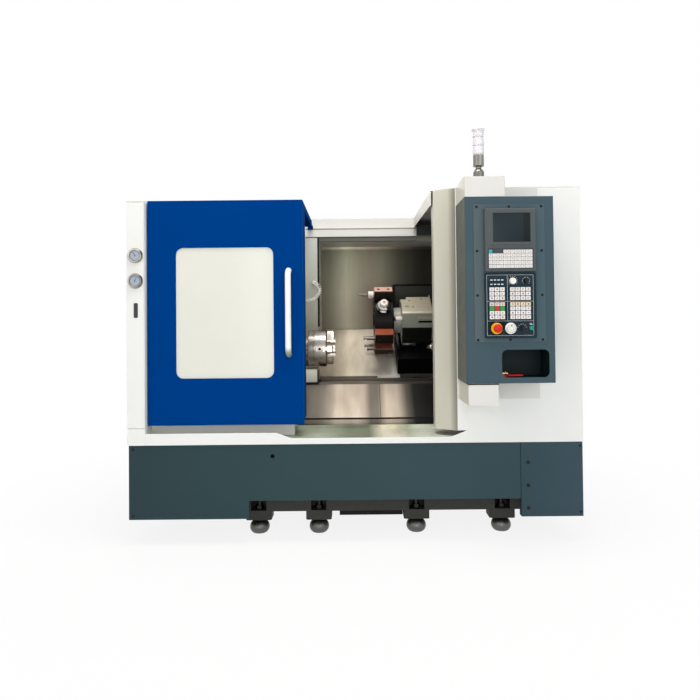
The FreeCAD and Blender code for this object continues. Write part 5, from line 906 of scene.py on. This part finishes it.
# The box's left side gets the painted reflected light.
paint(control_box, 1, lambda centre, normal: normal.x < -0.7 and centre.x < 0.5)
paint(control_box, 2, inside((650, 875), (-231.5, 9000), (810, 950)))
ducts = dressed("control_ducts", [roof_white, shaded_side_white], 0.0009)
# The ducts' left-facing sides get the darker white as painted shade.
paint(ducts, 1, lambda centre, normal: normal.x < -0.5)
# The plate's slate is painted lighter towards its left edge and a little at its right: painted
# highlights on its rounded ribs.
plate_painted_highlights = tones(
    (0.53, 86, 98, 101), (0.6, 76, 93, 100), (0.76, 70, 89, 98), (0.86, 74, 95, 104)
)
plate_slate = enamel("plate_slate", plate_painted_highlights, 0.4, shine=0.12, axis="X")
dressed("panel_plate", [plate_slate], 0.0006)
brass = metal("brass", (196, 160, 96), 0.26, 80.0, 0.03, 0.08, (1.0, 6.0, 6.0))
valve_red = moulded("valve_red", (232, 20, 26), 0.34, 400.0, 0.03)
start("pocket_valve")
rod((668, -205, 834), 7.5, 14, "X")
rod((677, -205, 834), 10, 6, "X", sides=6)
rod((684, -205, 834), 7.5, 8, "X")
rod((672, -205, 826), 4, 8, "Z", sides=16)
done([brass], edge=0.0005)
start("valve_lever")
block((665, -211, 820.5), (690, -199, 824.5))
block((689, -210, 822.5), (758, -200, 829))
done([valve_red], edge=0.0014)


# ---- control unit and screen ----
# Moulded grey unit with a flush screen, a row of soft keys and a pad of light keys. The marks on
# the keys are plain printed shapes.
def key_mark(key, left, right, low, high):
    """A printed bar about the middle of a key's front, in millimetres."""
    x, y, z = key
    block((x + left, y - 0.3, z + low), (x + right, y + 0.3, z + high))


unit_grey = moulded("unit_grey", (78, 84, 85), 0.46, 1300.0, 0.06, 0.04, 0.2)
pad_dark = moulded("pad_dark", (58, 66, 72), 0.46, 1300.0, 0.06, 0.04, 0.3)
key_grain = (900.0, 0.05, 0.03)
key_light = moulded("key_light", (236, 231, 228), 0.5, *key_grain)
key_cyan = moulded("key_cyan", (56, 164, 176), 0.45, *key_grain)
soft_key = moulded("soft_key", (84, 90, 90), 0.46, *key_grain)
unit_finishes = [unit_grey, key_light, key_cyan, soft_key, pad_dark]
unit = dressed("cnc_unit", unit_finishes, 0.0006)
key_fronts, top_row = (-9000, -258.6), (1369.5, 1386)
paint(unit, 4, inside((594.5, 797.5), (-259.9, -258.0), (1299, 1393.5)))
paint(unit, 1, inside((598, 793), key_fronts, (1304, 1386)))
paint(unit, 4, inside((614, 662.5), key_fronts, top_row))
paint(unit, 2, inside((598, 614.2), key_fronts, top_row))
paint(unit, 3, inside(y=(-9000, -260.2), z=(1402.5, 1410.5)))
screen_glass, shader, place = blank("screen_glass")
shader.inputs["Specular IOR Level"].default_value = 0.12
screen_tones = tones(
    (0.618, 20, 66, 72), (0.623, 26, 42, 47), (0.752, 26, 40, 45), (0.756, 16, 26, 30),
    (0.78, 16, 24, 28), (0.784, 18, 58, 64),
)
screen_colour = graded(screen_glass, place, "X", screen_tones)
screen_film = noise(screen_glass, place, 30.0)
surface(screen_glass, shader, screen_colour, screen_film, 0.1, 0.16)
dressed("cnc_screen", [screen_glass], 0.0003)
legend_dark = moulded("legend_dark", (96, 88, 92), 0.6, 600.0, 0.01, 0.02)
legend_light = moulded("legend_light", (222, 226, 226), 0.5, 600.0, 0.01, 0.02)
start("unit_key_marks")
for row in range(5):
    for column in range(4 if row == 4 else 0, 12):
        key_z = 1305 + row * 16.4 + 7.3
        key = (599 + column * 16.1 + 7.3, -261.6, key_z)
        kind = (row * 5 + column * 3) % 4
        if kind in (0, 2):
            key_mark(key, -3.4, 3.4, 1.2, 2.4)
        if kind in (0, 1, 3):
            key_mark(key, -2.2, 2.2, -2.6, -1.4)
        if kind == 1:
            key_mark(key, -0.6, 0.6, -1.4, 3.4)
        if kind == 3:
            rod((*key[:2], key_z + 2.2), 1.8, 0.6, sides=10)
done([legend_dark], edge=0.0)
start("soft_key_marks")
for column in range(10):
    key_mark((612 + column * 17.8 + 6, -262.1, 1404), -4.2, 4.2, 0, 5)
done([pad_dark], edge=0.0)

# ---- operator panel and its controls ----
# Dark slate fascia with four blocks of square keys, a mushroom stop button on a yellow collar, a
# white jog wheel, two override knobs, a mode selector and a green button.
fascia = moulded("fascia_slate", (22, 42, 53), 0.42, 1300.0, 0.05, 0.03, 0.15)
collar_yellow = moulded("collar_yellow", (244, 190, 10), 0.3, 500.0, 0.03)
key_rose = moulded("key_rose", (226, 206, 198), 0.5, *key_grain)
key_amber = moulded("key_amber", (228, 208, 182), 0.5, *key_grain)
key_green = moulded("key_green", (22, 168, 56), 0.45, *key_grain)
key_red = moulded("key_red", (232, 14, 34), 0.45, *key_grain)
panel = dressed(
    "operator_panel",
    [fascia, key_light, collar_yellow, key_rose, key_amber, key_green, key_red],
    0.0005,
)
for index, left, right, low, high in (
    (1, 598, 785, 1078, 1225),
    (3, 598, 668, 1135, 1155),
    (4, 689, 785, 1135, 1155),
    (5, 598, 668, 1116, 1135),
    (6, 622, 645, 1116, 1135),
):
    paint(panel, index, inside((left, right), (-9000, -256.3), (low, high)))
collar_middle, collar_radius, collar_back = at(630, 0, 1038), 0.0262, at(0, -256.2, 0).y
paint(
    panel,
    2,
    lambda centre, normal: (centre.xz - collar_middle.xz).length < collar_radius
    and centre.y < collar_back,
)
start("panel_frame_lines")
face_y = -256.5
for low, high in (
    ((588, 1273.3), (794, 1274.2)),
    ((588, 1006), (794, 1006.9)),
    ((588, 1006), (588.9, 1274.2)),
    ((793.1, 1006), (794, 1274.2)),
    ((678.8, 1070), (679.7, 1274.2)),
    ((588, 1156.8), (794, 1157.7)),
    ((588, 1070.2), (794, 1071.1)),
):
    block((low[0], face_y, low[1]), (high[0], face_y + 0.9, high[1]))
for row_z in (1252, 1233):
    for lamp_x in (604, 620, 636, 652):
        block((lamp_x, face_y - 0.3, row_z - 2.2), (lamp_x + 10, face_y + 0.9, row_z + 2.2))
for centre_x, centre_z, inner, outer, sweep, steps in (
    (703, 1247, 18.5, 22.5, 130, 11),
    (762, 1247, 14.5, 18.5, 130, 11),
    (742, 1038, 16.5, 21, 75, 6),
):
    for mark in range(steps):
        angle = 90 + sweep - 2 * sweep * mark / (steps - 1)
        size = ((outer - inner) / 1000, 0.0009, 0.0014)
        spoke_mark(centre_x, -256.3, centre_z, angle, (inner + outer) / 2, size)
block((776, face_y, 1053), (790, face_y + 0.9, 1055.4))
block((776, face_y, 1058), (786, face_y + 0.9, 1060))
done([legend_light], edge=0.0)
start("panel_key_marks")
for left, base, columns, rows, pitch, height in (
    (600, 1163, 3, 3, 19.6, 17),
    (691, 1163, 4, 3, 19.6, 17),
    (600, 1079, 3, 4, 19.2, 16.6),
    (691, 1079, 4, 4, 19.2, 16.6),
):
    for row in range(rows):
        for column in range(columns):
            key = (left + column * 23.3 + 10.2, -258.1, base + row * pitch + height / 2)
            kind = (row * 3 + column * 2 + columns) % 4
            if kind == 0:
                key_mark(key, -5, 5, -0.8, 0.8)
                key_mark(key, -0.8, 0.8, -4.5, 4.5)
            if kind == 1:
                rod(key, 4.2, 0.6, sides=3)
            if kind == 2:
                key_mark(key, -5, 5, 1.6, 3.2)
                key_mark(key, -5, 2, -3.2, -1.6)
            if kind == 3:
                rod(key, 3.6, 0.6, sides=16)
done([legend_dark], edge=0.0)
button_red = moulded("button_red", (206, 34, 30), 0.25, 400.0, 0.02)
dressed("stop_button", [button_red], 0.0008, "stop_cap")
knob_white = moulded("knob_white", (236, 236, 230), 0.3, 500.0, 0.03)
knob_black = moulded("knob_black", (24, 24, 26), 0.35, 700.0, 0.05)
jog = dressed("jog_wheel", [knob_white, latch_dark], 0.0006, "jog_dial")
jog_front = at(0, -262.5, 0).y
paint(jog, 1, lambda centre, normal: abs(normal.y) < 0.3 and centre.y > jog_front)
start("jog_rings")
for radius in (0.0095, 0.0175):
    ring((691, -276.1, 1038), radius, 0.0005, 40, 6)
rod((691, -276.3, 1050), 2.6, 0.8, sides=20)
done([soft_key], "jog_dial", 0.0)
dressed("feed_knob", [knob_white], 0.0004, "feed_dial")
dressed("speed_knob", [knob_black], 0.0004, "speed_dial")
dressed("mode_selector", [knob_black], 0.0005, "mode_grip")
button_green = moulded("button_green", (30, 140, 120), 0.28, 400.0, 0.02)
dressed("start_button", [button_green], 0.0004, "start_cap")

# ---- tower light ----
# Three frosted lens tiers on a turned aluminium stem that is bolted to the duct. It stands a good
# way above the roof, so that it can be seen from the aisle.
# The strong vertical streaks of light and dark stand in for reflections on the turned stem: painted
# reflections.
silver_painted_streaks = metal("light_silver", (124, 122, 118), 0.3, 60.0, 0.04, 0.7, (6.0, 6.0, 0.4))
dressed("light_base", [silver_painted_streaks], 0.0008)
lens_frost = moulded("lens_frost", (230, 228, 232), 0.25, 300.0, 0.02, 0.02)
dressed("light_lens", [lens_frost], 0.0008)

# ---- hose fittings ----
# Nickel-plated brass push-in fittings at the two ends of the air hose, each screwed through the
# sheet that it stands on.
dressed("hose_fittings", [chrome], 0.0004)


# ---- floor and light ----
# A pale floor, wide soft boxes and a bright even surround, as in a product studio. Away from the
# machine the floor turns to the paper white of the background.
def in_view(data):
    """The rays of a view, and 1 for what it shows by itself or in a reflection."""
    rays = added(data, "LightPath").outputs
    seen = added(data, "Math", operation="ADD", use_clamp=True)
    links(data, (rays["Is Camera Ray"], seen.inputs[0]), (rays["Is Glossy Ray"], seen.inputs[1]))
    return rays, seen.outputs[0]


bpy.ops.mesh.primitive_plane_add(size=40.0, location=(0.0, 0.0, 0.0))
floor = bpy.context.object
floor.name = "studio_floor"
floor_white = moulded("floor_white", (246, 246, 245), 0.8, 40.0, 0.005, 0.005, 0.1)
floor_nodes = floor_white.node_tree.nodes
paper_white = {"Color": (1.0, 1.0, 1.0, 1.0), "Strength": 1.0}
glow = added(floor_white, "Emission", paper_white)
floor_mix = added(floor_white, "MixShader")
outward_run = added(floor_white, "VectorMath", operation="LENGTH")
paper_share = added(floor_white, "Math", operation="MULTIPLY")
near, far = 1.2, 2.6
whiter = spread(floor_white, outward_run.outputs["Value"], 0.86, 1.0, near, far)
links(
    floor_white,
    (added(floor_white, "TexCoord").outputs["Object"], outward_run.inputs[0]),
    (in_view(floor_white)[1], paper_share.inputs[0]),
    (whiter, paper_share.inputs[1]),
    (paper_share.outputs[0], floor_mix.inputs[0]),
    (floor_nodes["Principled BSDF"].outputs[0], floor_mix.inputs[1]),
    (glow.outputs[0], floor_mix.inputs[2]),
    (floor_mix.outputs[0], floor_nodes["Material Output"].inputs["Surface"]),
)
floor.data.materials.append(floor_white)


def soft_box(name, place, target, width, height, power, colour=(1.0, 1.0, 1.0)):
    lamp = bpy.data.lights.new(name, "AREA")
    lamp.shape = "RECTANGLE"
    lamp.size = width
    lamp.size_y = height
    lamp.energy = power
    lamp.color = colour
    holder = placed(name, lamp)
    holder.location = place
    holder.rotation_euler = (Vector(target) - Vector(place)).to_track_quat("-Z", "Y").to_euler()


soft_box("key_light", (3.2, -5.0, 3.4), (0.0, 0.0, 0.9), 3.4, 2.6, 38.0, (0.97, 0.99, 1.0))
soft_box("front_light", (0.2, -6.0, 1.35), (0.1, 0.0, 1.0), 3.4, 2.0, 58.0)
soft_box("fill_light", (-3.8, -4.2, 2.6), (0.2, 0.0, 0.9), 3.0, 2.4, 30.0, (1.0, 0.95, 0.88))
soft_box("top_light", (0.1, -1.3, 4.3), (0.1, 0.1, 0.9), 2.4, 1.4, 92.0, (1.0, 0.97, 0.92))
soft_box("back_light", (0.5, 4.6, 3.6), (0.0, 0.3, 1.0), 4.0, 2.4, 70.0)

studio = bpy.data.worlds.new("studio")
studio.use_nodes = True
surround = studio.node_tree.nodes["Background"]
surround.inputs["Strength"].default_value = 0.62
split = added(studio, "SeparateXYZ")
links(studio, (added(studio, "TexCoord").outputs["Generated"], split.inputs[0]))
sky = ramp(studio, split.outputs["Z"], [(0.0, (0.42, 0.42, 0.43)), (0.6, (0.85, 0.86, 0.88))])
paper = added(studio, "Background", paper_white)
rays, seen = in_view(studio)
through = added(studio, "Math", operation="ADD", use_clamp=True)
studio_mix = added(studio, "MixShader")
links(
    studio,
    (sky, surround.inputs["Color"]),
    (seen, through.inputs[0]),
    (rays["Is Transmission Ray"], through.inputs[1]),
    (through.outputs[0], studio_mix.inputs[0]),
    (surround.outputs[0], studio_mix.inputs[1]),
    (paper.outputs[0], studio_mix.inputs[2]),
    (studio_mix.outputs[0], studio.node_tree.nodes["World Output"].inputs["Surface"]),
)
bpy.context.scene.world = studio
bpy.context.scene.view_settings.view_transform = "Standard"
